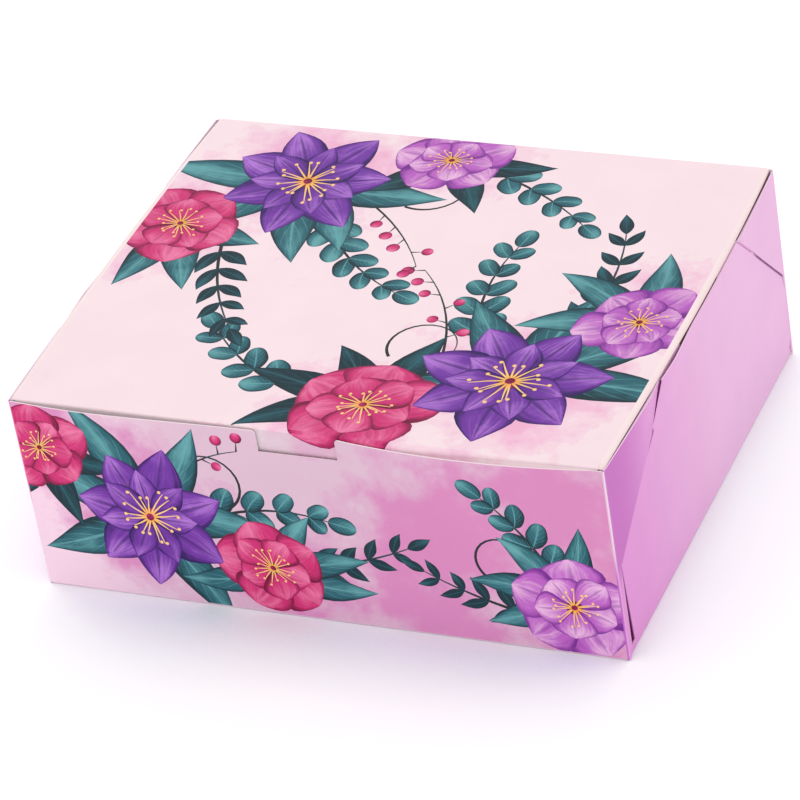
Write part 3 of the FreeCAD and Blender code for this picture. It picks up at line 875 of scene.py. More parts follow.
def spray(centre, headings, reach, width, ink, rng):
    """Draw long leaves that fan out from under a flower."""
    drawn = []
    for heading in headings:
        turn = heading + rng.uniform(-0.1, 0.1)
        run = reach * rng.uniform(0.85, 1.12)
        tone = rng.uniform(0.05, 0.9)
        bend = rng.uniform(-0.55, 0.55)
        drawn.append(stroke(centre, turn, run, width, leaf_form, ink, tone, bend, 18, 0.025))
    return drawn


def tendril(start, heading, reach, bend):
    """Draw a thin curl."""
    return [stroke(start, heading, reach, CURL_STEM, stem_form, "stem", 0.5, bend, 26)]


def berries(start, heading, reach, bend, count, rng):
    """Draw a thin stem with small fruits along it."""
    stem = stroke(start, heading, reach, FRUIT_STEM, stem_form, "stem", 0.5, bend)
    drawn = [stem]
    for index in range(count):
        spot = spine_at(stem.spine, 0.2 + 0.8 * index / (count - 1))
        size = FRUIT_SIZE * rng.uniform(0.8, 1.15)
        turn = heading + bend * index / count + rng.choice((-1, 1)) * 1.1
        tone = rng.uniform(0.3, 1)
        foot = spot + unit(turn) * 0.005
        drawn.append(stroke(spot, turn, 0.006, FRUIT_STALK, stem_form, "stem", 0.4, count=5))
        drawn.append(stroke(foot, turn, size, size, coin_form, "rose", tone, count=12))
    return drawn


def lid_art():
    """Lay out the lid's print: one bunch in the front right corner and one in the back left."""
    rng = random.Random(11)
    art = []
    art += tendril((0.020, -0.060), 2.3, 0.070, -4.2)
    art += tendril((-0.020, 0.062), -0.4, 0.075, 4.0)
    art += sprig((0.060, -0.045), 2.05, 0.085, -0.7, 5, 0.019, ROUND_LEAVES, rng)
    art += sprig((0.100, -0.030), 1.35, 0.088, 0.5, 5, 0.022, LONG_LEAVES, rng)
    art += sprig((-0.015, -0.095), 2.75, 0.072, -0.5, 4, 0.019, ROUND_LEAVES, rng)
    art += berries((0.045, -0.055), 1.75, 0.075, 0.6, 6, rng)
    art += spray((0.088, -0.066), (0.2, 0.75, 1.4, 2.3, 3.3), 0.082, 0.025, "leaf", rng)
    art += spray((0.022, -0.098), (1.1, 2.0, 2.75, 3.3), 0.060, 0.020, "shade_leaf", rng)
    art += spray((0.128, -0.012), (1.5, 2.3, 3.2), 0.058, 0.020, "leaf", rng)
    art += sprig((-0.055, 0.050), -1.15, 0.085, 0.7, 5, 0.019, ROUND_LEAVES, rng)
    art += sprig((-0.100, 0.020), -1.35, 0.080, 0.45, 5, 0.022, LONG_LEAVES, rng)
    art += sprig((0.010, 0.100), -0.35, 0.075, -0.4, 4, 0.018, ROUND_LEAVES, rng)
    art += berries((-0.050, 0.070), -0.55, 0.080, -0.5, 6, rng)
    art += spray((-0.078, 0.074), (-0.1, -0.7, -1.5, -2.4, 3.0), 0.080, 0.025, "leaf", rng)
    art += spray((-0.128, 0.028), (-0.3, -1.1, -1.8), 0.056, 0.020, "leaf", rng)
    art += spray((-0.012, 0.104), (-0.2, -0.9, -2.2), 0.052, 0.018, "shade_leaf", rng)
    art += flower((0.128, -0.012), 0.033, 5, wedge_form, 1.02, "orchid", rng, 0.86, 0.9)
    art += flower((0.022, -0.098), 0.040, 5, wedge_form, 1.05, "rose", rng, 0.84, 0.2)
    art += flower((0.084, -0.068), 0.050, 7, star_form, 0.58, "violet", rng, 0.90, 0.5)
    art += flower((-0.128, 0.030), 0.036, 5, wedge_form, 1.05, "rose", rng, 0.84, 2.4)
    art += flower((-0.012, 0.106), 0.033, 5, wedge_form, 1.02, "orchid", rng, 0.85, 0.1)
    art += flower((-0.078, 0.076), 0.049, 7, star_form, 0.58, "violet", rng, 0.92, 2.0)
    pools = [
        (0.085, -0.07, 0.060), (0.02, -0.11, 0.050), (0.135, 0.0, 0.045),
        (-0.08, 0.08, 0.060), (-0.135, 0.03, 0.050), (-0.01, 0.115, 0.045),
    ]
    return art, pools


def front_art():
    """Lay out the front wall's print: a bunch left of the notch and a small one by the right corner."""
    rng = random.Random(5)
    art = []
    art += tendril((-0.045, 0.060), 0.4, 0.070, 4.4)
    art += tendril((0.085, 0.040), 2.4, 0.055, -4.0)
    art += sprig((-0.060, 0.050), 0.55, 0.070, -0.8, 4, 0.018, ROUND_LEAVES, rng)
    art += sprig((-0.015, 0.030), 0.15, 0.065, 0.35, 4, 0.019, LONG_LEAVES, rng)
    art += sprig((0.120, 0.040), 1.9, 0.058, 0.5, 4, 0.017, ROUND_LEAVES, rng)
    art += sprig((0.105, 0.020), 2.95, 0.055, -0.3, 4, 0.017, LONG_LEAVES, rng)
    art += berries((-0.075, 0.070), 0.9, 0.050, -0.7, 5, rng)
    art += spray((-0.088, 0.048), (0.2, 0.9, 1.8, 2.7, 3.6, 5.4), 0.068, 0.022, "leaf", rng)
    art += spray((-0.025, 0.026), (-0.3, 0.4, 1.2, 3.6), 0.048, 0.016, "leaf", rng)
    art += spray((-0.138, 0.086), (-0.5, -1.3, -2.0), 0.045, 0.016, "shade_leaf", rng)
    art += spray((0.124, 0.030), (1.2, 2.1, 2.8, 3.6), 0.046, 0.016, "leaf", rng)
    art += flower((-0.138, 0.084), 0.029, 5, wedge_form, 1.05, "rose", rng, 0.85, 0.6)
    art += flower((-0.026, 0.028), 0.031, 5, wedge_form, 1.05, "rose", rng, 0.85, 2.6)
    art += flower((0.126, 0.028), 0.033, 5, wedge_form, 1.03, "orchid", rng, 0.88, 0.4)
    art += flower((-0.086, 0.050), 0.043, 7, star_form, 0.58, "violet", rng, 0.92, 1.2)
    pools = [
        (-0.09, 0.05, 0.050), (-0.14, 0.09, 0.042), (-0.02, 0.025, 0.045), (0.125, 0.03, 0.055),
        (0.07, 0.06, 0.065), (0.125, 0.085, 0.055), (0.06, 0.015, 0.045),
    ]
    return art, pools


# Boards


def divided(points, pitch):
    """Set points along a closed outline no further apart than the pitch."""
    laid = []
    for start, end in zip(points, points[1:] + points[:1]):
        start = np.asarray(start, float)
        end = np.asarray(end, float)
        count = max(1, math.ceil(np.linalg.norm(end - start) / pitch))
        laid += [tuple(start + (end - start) * step / count) for step in range(count)]
    return laid


def rounded(points, corner, radius, steps=6):
    """Round one corner of an outline."""
    spot = Vector(points[corner])
    before = (Vector(points[corner - 1]) - spot).normalized()
    after = (Vector(points[(corner + 1) % len(points)]) - spot).normalized()
    half = before.angle(after) / 2
    centre = spot + (before + after).normalized() * radius / math.sin(half)
    start = spot + before * radius / math.tan(half) - centre
    end = spot + after * radius / math.tan(half) - centre
    sweep = start.angle_signed(end)
    arc = [centre + Matrix.Rotation(-sweep * step / steps, 2) @ start for step in range(steps + 1)]
    return points[:corner] + [tuple(spot) for spot in arc] + points[corner + 1:]


def beside_spine(shape, share):
    """Give the points left and right of a painted shape's spine, at a share of its half width."""
    reach = share * spine_normals(shape.spine) * shape.widths[:, None]
    return shape.spine + reach, shape.spine - reach


def shape_outline(shape):
    """Give a painted shape's closed outline, counterclockwise, with a single point at a sharp end."""
    left, right = beside_spine(shape, 1.0)
    first = 1 if shape.widths[0] < SHARP else 0
    last = -1 if shape.widths[-1] < SHARP else None
    return np.vstack((right, left[first:last][::-1]))


def cut_die(outline, pitch, shapes=(), lines=()):
    """Cut a board flat, with its painted shapes and any extra cut lines in its surface."""
    points = []
    edges = []
    faces = []

    def add_loop(loop):
        first = len(points)
        points.extend(Vector(spot) for spot in loop)
        count = len(loop)
        edges.extend((first + step, first + (step + 1) % count) for step in range(count))
        faces.append(list(range(first, first + count)))

    add_loop(divided(outline, pitch))
    for shape in shapes:
        add_loop(shape_outline(shape))
    for start, end in lines:
        first = len(points)
        points.extend((Vector(start), Vector(end)))
        edges.append((first, first + 1))
    for shape in shapes:
        for row in (shape.spine, *beside_spine(shape, 0.5)):
            points.extend(Vector(spot) for spot in row[1:-1])
    low = np.min(outline, axis=0)
    high = np.max(outline, axis=0)
    for u in np.arange(low[0] + pitch / 2, high[0], pitch):
        points.extend(Vector((u, v)) for v in np.arange(low[1] + pitch / 2, high[1], pitch))

    laid, _, triangles, _, _, sources = delaunay_2d_cdt(points, edges, faces, 0, WELD, True)
    spots = np.array([tuple(spot) for spot in laid])
    kept = [(face, max(source)) for face, source in zip(triangles, sources) if 0 in source]
    owner = np.array([top - 1 for _, top in kept])
    return Die(spots, np.array([face for face, _ in kept]), owner, list(shapes))


def locate(shape, spots):
    """Give across, from 0 to 1, and along, from 0 to 1, of points lying in a painted shape."""
    start = shape.spine[:-1]
    step = shape.spine[1:] - start
    offset = spots[:, None, :] - start[None, :, :]
    share = np.clip((offset * step).sum(-1) / (step * step).sum(-1), 0, 1)
    gap = offset - share[..., None] * step
    nearest = np.argmin((gap * gap).sum(-1), axis=1)
    rows = np.arange(len(spots))
    place = nearest + share[rows, nearest]
    gap = gap[rows, nearest]
    along = step[nearest]
    side = along[:, 0] * gap[:, 1] - along[:, 1] * gap[:, 0]
    distance = np.linalg.norm(gap, axis=1) * np.sign(side)
    width = np.interp(place, np.arange(len(shape.widths)), shape.widths)
    across = np.clip(distance / np.maximum(width, SHARP), -1, 1)
    return np.stack((across * 0.5 + 0.5, place / len(step)), axis=1)


def print_data(mesh, die, slots):
    """Write each triangle's ink, its place along its painted shape and its tone."""
    uv = np.zeros((len(die.triangles), 3, 2))
    tone = np.zeros(len(die.triangles))
    ink = np.zeros(len(die.triangles), dtype=np.int32)
    for index, shape in enumerate(die.shapes):
        rows = np.flatnonzero(die.owner == index)
        if not len(rows):
            continue
        spots = die.points[die.triangles[rows]].reshape(-1, 2)
        uv[rows] = locate(shape, spots).reshape(-1, 3, 2)
        tone[rows] = shape.tone
        ink[rows] = slots[shape.ink]
    layer = mesh.uv_layers.new(name="Print")
    layer.data.foreach_set("uv", uv.astype(np.float32).ravel())
    mesh.attributes.new("Tone", "FLOAT", "FACE").data.foreach_set("value", tone.astype(np.float32))
    mesh.polygons.foreach_set("material_index", ink)


def wash_data(mesh, points, pools):
    """Write how wet the ground is, from pools of wash given as a centre and a radius."""
    wet = np.zeros(len(points))
    for u, v, radius in pools:
        apart = (points[:, 0] - u) ** 2 + (points[:, 1] - v) ** 2
        wet = np.maximum(wet, np.exp(-apart / radius ** 2))
    mesh.attributes.new("Wash", "FLOAT", "POINT").data.foreach_set("value", wet.astype(np.float32))


def activate(context, piece):
    """Make a piece the only selected and active object."""
    bpy.ops.object.select_all(action="DESELECT")
    piece.select_set(True)
    context.view_layer.objects.active = piece


def thicken(context, piece, thickness):
    """Give a sheet its thickness inwards; its last two materials are the inner side's and the edges'."""
    activate(context, piece)
    sheet = len(piece.data.polygons)
    bpy.ops.object.modifier_add(type="SOLIDIFY")
    solid = piece.modifiers[-1]
    solid.thickness = thickness
    solid.offset = -1
    bpy.ops.object.modifier_apply(modifier=solid.name)
    index = np.empty(len(piece.data.polygons), dtype=np.int32)
    piece.data.polygons.foreach_get("material_index", index)
    slots = len(piece.data.materials)
    index[sheet:] = slots - 2
    index[2 * sheet:] = slots - 1
    piece.data.polygons.foreach_set("material_index", index)
    bpy.ops.object.shade_smooth_by_angle(angle=math.radians(SMOOTH_ANGLE))


def fold_up(context, name, die, place, materials, flip=False, slots=None, pools=()):
    """Fold a flat board up into the frame and thicken it."""
    coords = place(die.points[:, 0], die.points[:, 1])
    triangles = die.triangles[:, ::-1] if flip else die.triangles
    mesh = bpy.data.meshes.new(name)
    mesh.from_pydata(np.stack(coords, axis=1).tolist(), [], triangles.tolist())
    for material in materials:
        mesh.materials.append(material)
    if slots:
        print_data(mesh, die, slots)
    if pools:
        wash_data(mesh, die.points, pools)
    piece = bpy.data.objects.new(name, mesh)
    context.scene.collection.objects.link(piece)
    activate(context, piece)
    bpy.ops.object.mode_set(mode="EDIT")
    bpy.ops.mesh.select_all(action="SELECT")
    bpy.ops.mesh.delete_loose()
    bpy.ops.object.mode_set(mode="OBJECT")
    thicken(context, piece, boards(context).thickness)
    return piece


def inner_materials(context, kind):
    """Give the bare inner side and the cut edges of a printed or lilac board."""
    tones = inks(context)
    bare = plain_material("bare_board", tones.bare, gloss=0.75, relief=0.5)
    edge = plain_material(f"{kind}_edge", getattr(tones, f"{kind}_edge"), gloss=0.8)
    return [bare, edge]


def lilac_materials(context, name="wall_lilac", colouring=lilac_paint):
    """Give the slots of a plain board."""
    if name in bpy.data.materials:
        lilac = bpy.data.materials[name]
    else:
        lilac, tree, shader, paper = new_material(name)
        lay_paint(tree, shader, paper, colouring(tree, inks(context)))
    return [lilac, *inner_materials(context, "lilac")]


def printed_materials(context, ground):
    """Give the slots of a printed board and the place of each ink among them."""
    painted = [ink_material(ink, inks(context)) for ink in INKS]
    slots = {ink: index + 1 for index, ink in enumerate(INKS)}
    return [ground, *painted, *inner_materials(context, "print")], slots


def eased(share):
    """Ease a share from 0 to 1 in and out."""
    return share ** 2 * (3 - 2 * share)


def side_bow(context, reach, height):
    """Give the outward bow of a side wall at a distance from the front and a height."""
    _, half_depth, top = box_half()
    swell = np.clip(np.sin(math.pi * reach / (2 * half_depth)), 0, 1)
    climb = np.clip(height / top, 0, 1)
    return boards(context).side_bow * swell ** SIDE_POWERS[0] * climb ** SIDE_POWERS[1]


def right_bow(context, x):
    """Give the bow of the front wall's edge right of the notch, where the tuck flap presses on it."""
    sizes = boards(context)
    start = sizes.notch_width / 2 - sizes.notch_shift
    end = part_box("tuck_flap")[1].x
    share = np.clip((x - start) / (end - start), 0, 1)
    return sizes.right_bow * np.clip(np.sin(math.pi * share), 0, 1) ** RIGHT_POWER


def front_bow(context, x, height):
    """Give the outward bow of the front wall, one by its left end and one right of the notch."""
    half_width, _, top = box_half()
    share = np.clip(x / half_width, -1, 1)
    swell = (1 + share) ** BOW_POWERS[0] * (1 - share) ** BOW_POWERS[1]
    peak = (BOW_POWERS[0] - BOW_POWERS[1]) / sum(BOW_POWERS)
    most = (1 + peak) ** BOW_POWERS[0] * (1 - peak) ** BOW_POWERS[1]
    left = boards(context).front_bow * swell / most
    return (left + right_bow(context, x)) * np.clip(height / top, 0, 1) ** FRONT_POWER


def above_slit(context, height):
    """Give how far a height lies above the slits' low ends."""
    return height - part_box("right_wall")[1].z + boards(context).slit_depth


def slit_climb(context, height):
    """Give the share of a slit's depth at a height, from 0 at its low end to 1 at the wall's top."""
    return np.clip(above_slit(context, height) / boards(context).slit_depth, 0, 1)


def past_slit(context, end, reach, height):
    """Give how far a point lies past a slit's line, counted from the slit's own end of the box."""
    sizes = boards(context)
    low = getattr(sizes, f"{end}_slit_low")
    top = getattr(sizes, f"{end}_slit_top")
    return reach - low - (top - low) * slit_climb(context, height)


def slit_dip(context, reach, height):
    """Give how far a front ear and the wall's end part sink together just before the slit."""
    sizes = boards(context)
    past = past_slit(context, "front", reach, height)
    near = np.clip(1 + past / sizes.dip_run, 0, 1)
    near = np.where(past > sizes.jog_width / 2, 0, near)
    above = np.clip(above_slit(context, height) / sizes.dip_rise, 0, 1)
    return sizes.slit_dip * eased(near) * above


def slit_push(context, reach, height):
    """Give how far the tongue of a front ear pushes the side wall out past its slit."""
    sizes = boards(context)
    past = past_slit(context, "front", reach, height)
    start, end = PUSH_SPAN
    grow = np.where(past > sizes.jog_width / 2, np.clip(start + past / sizes.push_run, 0, 1), 0)
    fade = np.clip(end - past / sizes.push_run, 0, 1)
    return sizes.slit_push * grow * eased(fade) * slit_climb(context, height) ** PUSH_POWER


def shade_edges(context, piece, chosen):
    """Paint chosen faces of a piece with painted shade, the dark of the shadow in its slits and gaps."""
    shade = plain_material("slit_shade", inks(context).slit, gloss=0.8)
    piece.data.materials.append(shade)
    slot = len(piece.data.materials) - 1
    for face in piece.data.polygons:
        if chosen(face):
            face.material_index = slot


def tuck_crease():
    """Give the tuck flap's crease: its axis, its outer radius and the angle it bends through."""
    low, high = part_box("lid_panel")
    crease_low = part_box("tuck_flap_crease")[0]
    radius = low.y - crease_low.y
    axis = Vector((0, low.y, high.z - radius))
    return axis, radius, math.pi / 2 + math.asin((axis.z - crease_low.z) / radius)


def sharp_bend(angle, radius):
    """Give the run and the rise, from a crease's axis, of a sharp crease's outer face at an angle."""
    run = np.sin(angle)
    rise = np.cos(angle)
    swell = (np.abs(run) ** CREASE_POWER + np.abs(rise) ** CREASE_POWER) ** (-1 / CREASE_POWER)
    return radius * run * swell, radius * rise * swell


def tuck_bend(context, x, angle):
    """Give the run and the drop of the tuck flap's fold at an angle, wide and round where it presses."""
    _, radius, _ = tuck_crease()
    bow = right_bow(context, x)
    soft = bow / boards(context).right_bow
    run, rise = sharp_bend(angle, radius)
    run = run + (radius * np.sin(angle) - run) * soft
    drop = radius - rise + (rise - radius * np.cos(angle)) * soft
    return run * (1 + TUCK_PRESS * bow / radius), drop * (1 + TUCK_DROP * bow / radius)


def shapes_in(shapes, outline):
    """Keep the painted shapes that may reach into an outline."""
    low = np.min(outline, axis=0)
    high = np.max(outline, axis=0)
    kept = []
    for shape in shapes:
        reach = shape.widths.max()
        begun = np.all(shape.spine.max(axis=0) + reach > low)
        if begun and np.all(shape.spine.min(axis=0) - reach < high):
            kept.append(shape)
    return kept


def flap_face(context, y):
    """Give how far out the top of a side flap lies, which follows the wall's bow."""
    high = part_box("right_flap")[1]
    return high.x + FLAP_SHARE * side_bow(context, y + box_half()[1], high.z)


def lid_edge(context, y):
    """Give how far the lid panel reaches sideways; its side folds tighten towards the corners."""
    sizes = boards(context)
    low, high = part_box("lid_panel")
    share = np.clip((y - low.y) / (high.y - low.y), 0, 1)
    fold = sizes.corner_fold + (sizes.fold_reach - sizes.corner_fold) * np.sqrt(np.sin(math.pi * share))
    return flap_face(context, y) - fold


class CARTON_OT_lid(bpy.types.Operator):
    """Cut, print and fold the lid panel"""

    bl_idname = "carton.lid"
    bl_label = "Printed lid"

    def execute(self, context):
        low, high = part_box("lid_panel")
        sizes = boards(context)
        steps = np.linspace(low.y, high.y, 1 + math.ceil((high.y - low.y) / sizes.pitch))
        reach = lid_edge(context, steps)
        right = list(zip(reach, steps))
        left = list(zip(-reach[::-1], steps[::-1]))
        outline = right + left
        middle = (low + high) / 2
        half = (high - low) / 2
        art, pools = lid_art()
        die = cut_die(outline, sizes.pitch, art)

        def place(x, y):
            rise = (1 - ((x - middle.x) / half.x) ** 2) * (1 - ((y - middle.y) / half.y) ** 2)
            return x, y, high.z + sizes.lid_crown * np.clip(rise, 0, 1)

        tones = inks(context)
        ground = ground_material("lid_ground", tones.ground, tones.ground, tones.wash, depth=0.66)
        materials, slots = printed_materials(context, ground)
        lid = fold_up(context, "lid_board", die, place, materials, slots=slots, pools=pools)
        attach(lid, "lid")
        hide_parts("lid_panel")
        return {"FINISHED"}


class CARTON_OT_tuck(bpy.types.Operator):
    """Print the lid's front fold and tuck flap, on one sheet with the lid, and bend them down"""

    bl_idname = "carton.tuck"
    bl_label = "Tuck flap"

    def execute(self, context):
        tones = inks(context)
        self.fold(context, *printed_materials(context, bpy.data.materials["lid_ground"]))
        # The tuck flap's ground is the lid's, darkened as painted shade
        pale = tones.tuck_ground
        ground = ground_material("tuck_ground", pale, pale, tones.front_wash, depth=0.5)
        self.flap(context, *printed_materials(context, ground))
        return {"FINISHED"}

    def fold(self, context, materials, slots):
        """Make the fold, its sheet running on from the lid's front edge."""
        axis, radius, sweep = tuck_crease()
        reach = float(lid_edge(context, axis.y))
        depth = radius * sweep
        edge = axis.y - depth
        outline = [(-reach, edge), (reach, edge), (reach, axis.y), (-reach, axis.y)]
        levels = [axis.y - depth * step / FOLD_STEPS for step in range(1, FOLD_STEPS)]
        lines = [((-reach, level), (reach, level)) for level in levels]
        art, pools = lid_art()
        die = cut_die(outline, boards(context).pitch, shapes_in(art, outline), lines)

        def place(x, y):
            run, sink = tuck_bend(context, x, (axis.y - y) / radius)
            return x, axis.y - run, axis.z + radius - sink

        fold = fold_up(context, "tuck_fold", die, place, materials, slots=slots, pools=pools)
        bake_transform(fold)
        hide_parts("tuck_flap_crease")

    def flap(self, context, materials, slots):
        """Make the flap, which swells against the front wall and bends away lower down."""
        sizes = boards(context)
        axis, radius, sweep = tuck_crease()
        low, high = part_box("tuck_flap")
        lean = sweep - math.pi / 2
        drop = (high.z - low.z - sizes.thickness * math.sin(lean)) / math.cos(lean)
        top = axis.y - radius * sweep
        reach = float(lid_edge(context, axis.y))
        shoulder = top - sizes.tuck_shoulder
        outline = [
            (low.x + sizes.tuck_taper, top - drop), (high.x - sizes.tuck_taper, top - drop),
            (high.x, shoulder), (reach, top), (-reach, top), (low.x, shoulder),
        ]
        outline = rounded(rounded(outline, 1, sizes.tuck_round), 0, sizes.tuck_round)
        art, pools = lid_art()
        die = cut_die(outline, sizes.pitch, shapes_in(art, outline))

        def place(x, y):
            down = top - y
            share = np.clip(down / drop, 0, 1)
            belly = sizes.tuck_belly * np.sin(math.pi * np.clip(share / TUCK_SWELL, 0, 1))
            back = math.sin(lean) * down * share ** TUCK_EASE - belly
            run, rise = sharp_bend(sweep, radius)
            wide, sink = tuck_bend(context, x, sweep)
            run = run + (wide - run) * (1 - share)
            rise = rise + (radius - sink - rise) * (1 - share)
            return x, axis.y - run + back, axis.z + rise - down * math.cos(lean)

        flap = fold_up(context, "tuck_board", die, place, materials, slots=slots, pools=pools)
        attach(flap, "tuck_flap")
        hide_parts("tuck_flap")


class CARTON_OT_front(bpy.types.Operator):
    """Cut, print and fold the front wall with its thumb notch"""

    bl_idname = "carton.front"
    bl_label = "Printed front wall"

    def execute(self, context):
        low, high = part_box("front_wall")
        sizes = boards(context)
        left = -sizes.notch_shift - sizes.notch_width / 2
        right = left + sizes.notch_width
        floor = high.z - sizes.notch_depth
        outline = [
            (low.x, low.z), (high.x, low.z), (high.x, high.z),
            (right, high.z), (right, floor), (left, floor), (left, high.z),
            (low.x, high.z),
        ]
        outline = rounded(rounded(outline, 6, sizes.notch_round), 3, sizes.notch_round)
        art, pools = front_art()
        die = cut_die(outline, sizes.pitch, art)

        def place(x, z):
            return x, low.y - front_bow(context, x, z), z

        tones = inks(context)
        # The front wall's ground darkens from its middle on as painted shade
        near, far = tones.front_ground, tones.front_shaded_ground
        ground = ground_material("front_ground", near, far, tones.front_wash, depth=0.9)
        materials, slots = printed_materials(context, ground)
        front = fold_up(context, "front_board", die, place, materials, slots=slots, pools=pools)
        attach(front, "tray")
        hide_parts("front_wall")
        return {"FINISHED"}


class CARTON_OT_walls(bpy.types.Operator):
    """Cut and fold the lilac side walls, with their slits, and the back wall"""

    bl_idname = "carton.walls"
    bl_label = "Plain walls"

    def execute(self, context):
        for hand, node in ((1, "right_wall"), (-1, "left_wall")):
            self.side_wall(context, hand, node)
        self.back_wall(context)
        return {"FINISHED"}

    def side_wall(self, context, hand, node):
        """Make one side wall, the hand being its side of the box."""
        low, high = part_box(node)
        sizes = boards(context)
        _, half_depth, _ = box_half()
        depth = 2 * half_depth
        face = high.x if hand > 0 else -low.x
        foot = low.y + half_depth
        slit_end = high.z - sizes.slit_depth
        flare = low.z + sizes.wall_end_flare
        front_top, front_low = sizes.front_slit_top, sizes.front_slit_low
        back_top, back_low = depth - sizes.back_slit_top, depth - sizes.back_slit_low
        half = sizes.slit_width / 2
        outline = [
            (foot, low.z), (depth - foot, low.z), (depth - sizes.back_end_gap, flare),
            (depth - sizes.back_end_gap, high.z),
            (back_top + half, high.z), (back_low + half, slit_end),
            (back_low - half, slit_end), (back_top - half, high.z),
            (front_top + half, high.z), (front_low + half, slit_end),
            (front_low - half, slit_end), (front_top - half, high.z),
            (sizes.front_end_top, high.z), (sizes.front_end_top, sizes.front_waist),
            (sizes.front_end_gap, flare),
        ]
        die = cut_die(outline, sizes.pitch)

        def place(reach, z):
            bow = side_bow(context, reach, z) + self.flush(context, face, reach, z)
            give = slit_push(context, reach, z) - slit_dip(context, reach, z)
            return hand * (face + bow + give), reach - half_depth, z

        # Faces that get painted shade: the cut edges in the front slit, and the wall's front end below
        # the waist
        def in_shade(part):
            spot = part.center
            past = past_slit(context, "front", spot.y + half_depth, spot.z)
            in_slit = spot.z > slit_end and abs(past) < SLIT_MARGIN * half
            return in_slit or (part.normal.y < -END_FACING and spot.z < sizes.front_waist)

        materials = lilac_materials(context, "side_lilac", wall_paint)
        wall = fold_up(context, node + "_board", die, place, materials, hand < 0)
        shade_edges(context, wall, in_shade)
        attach(wall, "tray")
        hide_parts(node)

    def flush(self, context, face, reach, height):
        """Give how far a wall's back end comes out to lie flush with the strip of its back ear."""
        sizes = boards(context)
        half_width, half_depth, _ = box_half()
        near = np.clip(1 - (2 * half_depth - sizes.back_end_gap - reach) / FLUSH_RUN, 0, 1)
        below = np.clip((sizes.back_waist - FLUSH_GAP - height) / FLUSH_RISE, 0, 1)
        above = np.clip((height - FLUSH_FOOT) / FLUSH_RISE, 0, 1)
        return (half_width - face) * eased(near) * below * above

    def back_wall(self, context):
        """Make the back wall."""
        low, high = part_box("back_wall")
        outline = [(low.x, low.z), (high.x, low.z), (high.x, high.z), (low.x, high.z)]
        die = cut_die(outline, 2 * boards(context).pitch)

        def place(x, z):
            along = np.clip(1 - (x / high.x) ** 2, 0, 1)
            swell = along * np.sin(math.pi * np.clip(z / high.z, 0, 1))
            return x, high.y + boards(context).back_bow * swell, z

        wall = fold_up(context, "back_board", die, place, lilac_materials(context), True)
        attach(wall, "tray")
        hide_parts("back_wall")


class CARTON_OT_ears(bpy.types.Operator):
    """Cut the corner ears and pass each through its slit"""

    bl_idname = "carton.ears"
    bl_label = "Corner ears"

    def execute(self, context):
        for end in ("front", "back"):
            for hand, side in ((1, "right"), (-1, "left")):
                self.ear(context, end, hand, f"{end}_{side}_ear")
        return {"FINISHED"}

    def ear(self, context, end, hand, node):
        """Make one ear; reach is counted from the ear's own end of the box."""
        sizes = boards(context)
        low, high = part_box(node)
        half_width, half_depth, _ = box_half()
        wall_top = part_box("right_wall")[1].z
        near = min(abs(-half_depth - low.y), abs(half_depth - high.y))
        far = near + (high.y - low.y)
        slit_low = getattr(sizes, f"{end}_slit_low")
        slit_top = getattr(sizes, f"{end}_slit_top")
        waist = getattr(sizes, f"{end}_waist")
        strip = getattr(sizes, f"{end}_strip")
        slit_end = wall_top - sizes.slit_depth
        hook = slit_end - sizes.hook_drop
        outline = [
            (near, low.z), (strip, low.z + sizes.strip_slant), (strip, waist), (slit_low, slit_end),
            (slit_low + sizes.hook_run, hook), (far, hook), (far, wall_top), (slit_top, wall_top),
            (near, high.z),
        ]
        outline = rounded(outline, 5, sizes.hook_round)
        half_jog = sizes.jog_width / 2
        lines = [
            ((slit_low + shift, slit_end), (slit_top + shift, wall_top))
            for shift in (-half_jog, half_jog)
        ]
        die = cut_die(outline, sizes.pitch, lines=lines)
        sink = 2 * (sizes.thickness + sizes.ply_gap)

        def place(reach, z):
            inside = np.clip(past_slit(context, end, reach, z) / sizes.jog_width + 0.5, 0, 1)
            from_front = reach if end == "front" else 2 * half_depth - reach
            dip = slit_dip(context, reach, z) if end == "front" else 0
            out = side_bow(context, from_front, z) - np.maximum(sink * inside, dip)
            return hand * (half_width + out), from_front - half_depth, z

        flip = (hand < 0) != (end == "back")
        materials = lilac_materials(context, "ear_lilac", ear_paint)
        ear = fold_up(context, node + "_board", die, place, materials, flip)
        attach(ear, "tray")
        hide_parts(node)


class CARTON_OT_flaps(bpy.types.Operator):
    """Cut the lid's side flaps, which lie against the bowed side walls"""

    bl_idname = "carton.flaps"
    bl_label = "Side flaps"

    def execute(self, context):
        sizes = boards(context)
        materials = [fold_material(context), *inner_materials(context, "print")]
        half_depth = box_half()[1]
        for hand, node in ((1, "right_flap"), (-1, "left_flap")):
            low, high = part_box(node)
            front = low.y + half_depth
            back = high.y + half_depth
            outline = [
                (front, high.z), (front + sizes.flap_taper, low.z),
                (back - sizes.flap_taper, low.z), (back, high.z),
            ]
            outline = rounded(rounded(outline, 2, sizes.flap_round), 1, sizes.flap_round)
            die = cut_die(outline, sizes.pitch)
            face = max(abs(low.x), abs(high.x))

            def place(reach, z):
                return hand * (face + FLAP_SHARE * side_bow(context, reach, z)), reach - half_depth, z

            flap = fold_up(context, node + "_board", die, place, materials, hand < 0)
            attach(flap, node)
            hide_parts(node)
        return {"FINISHED"}


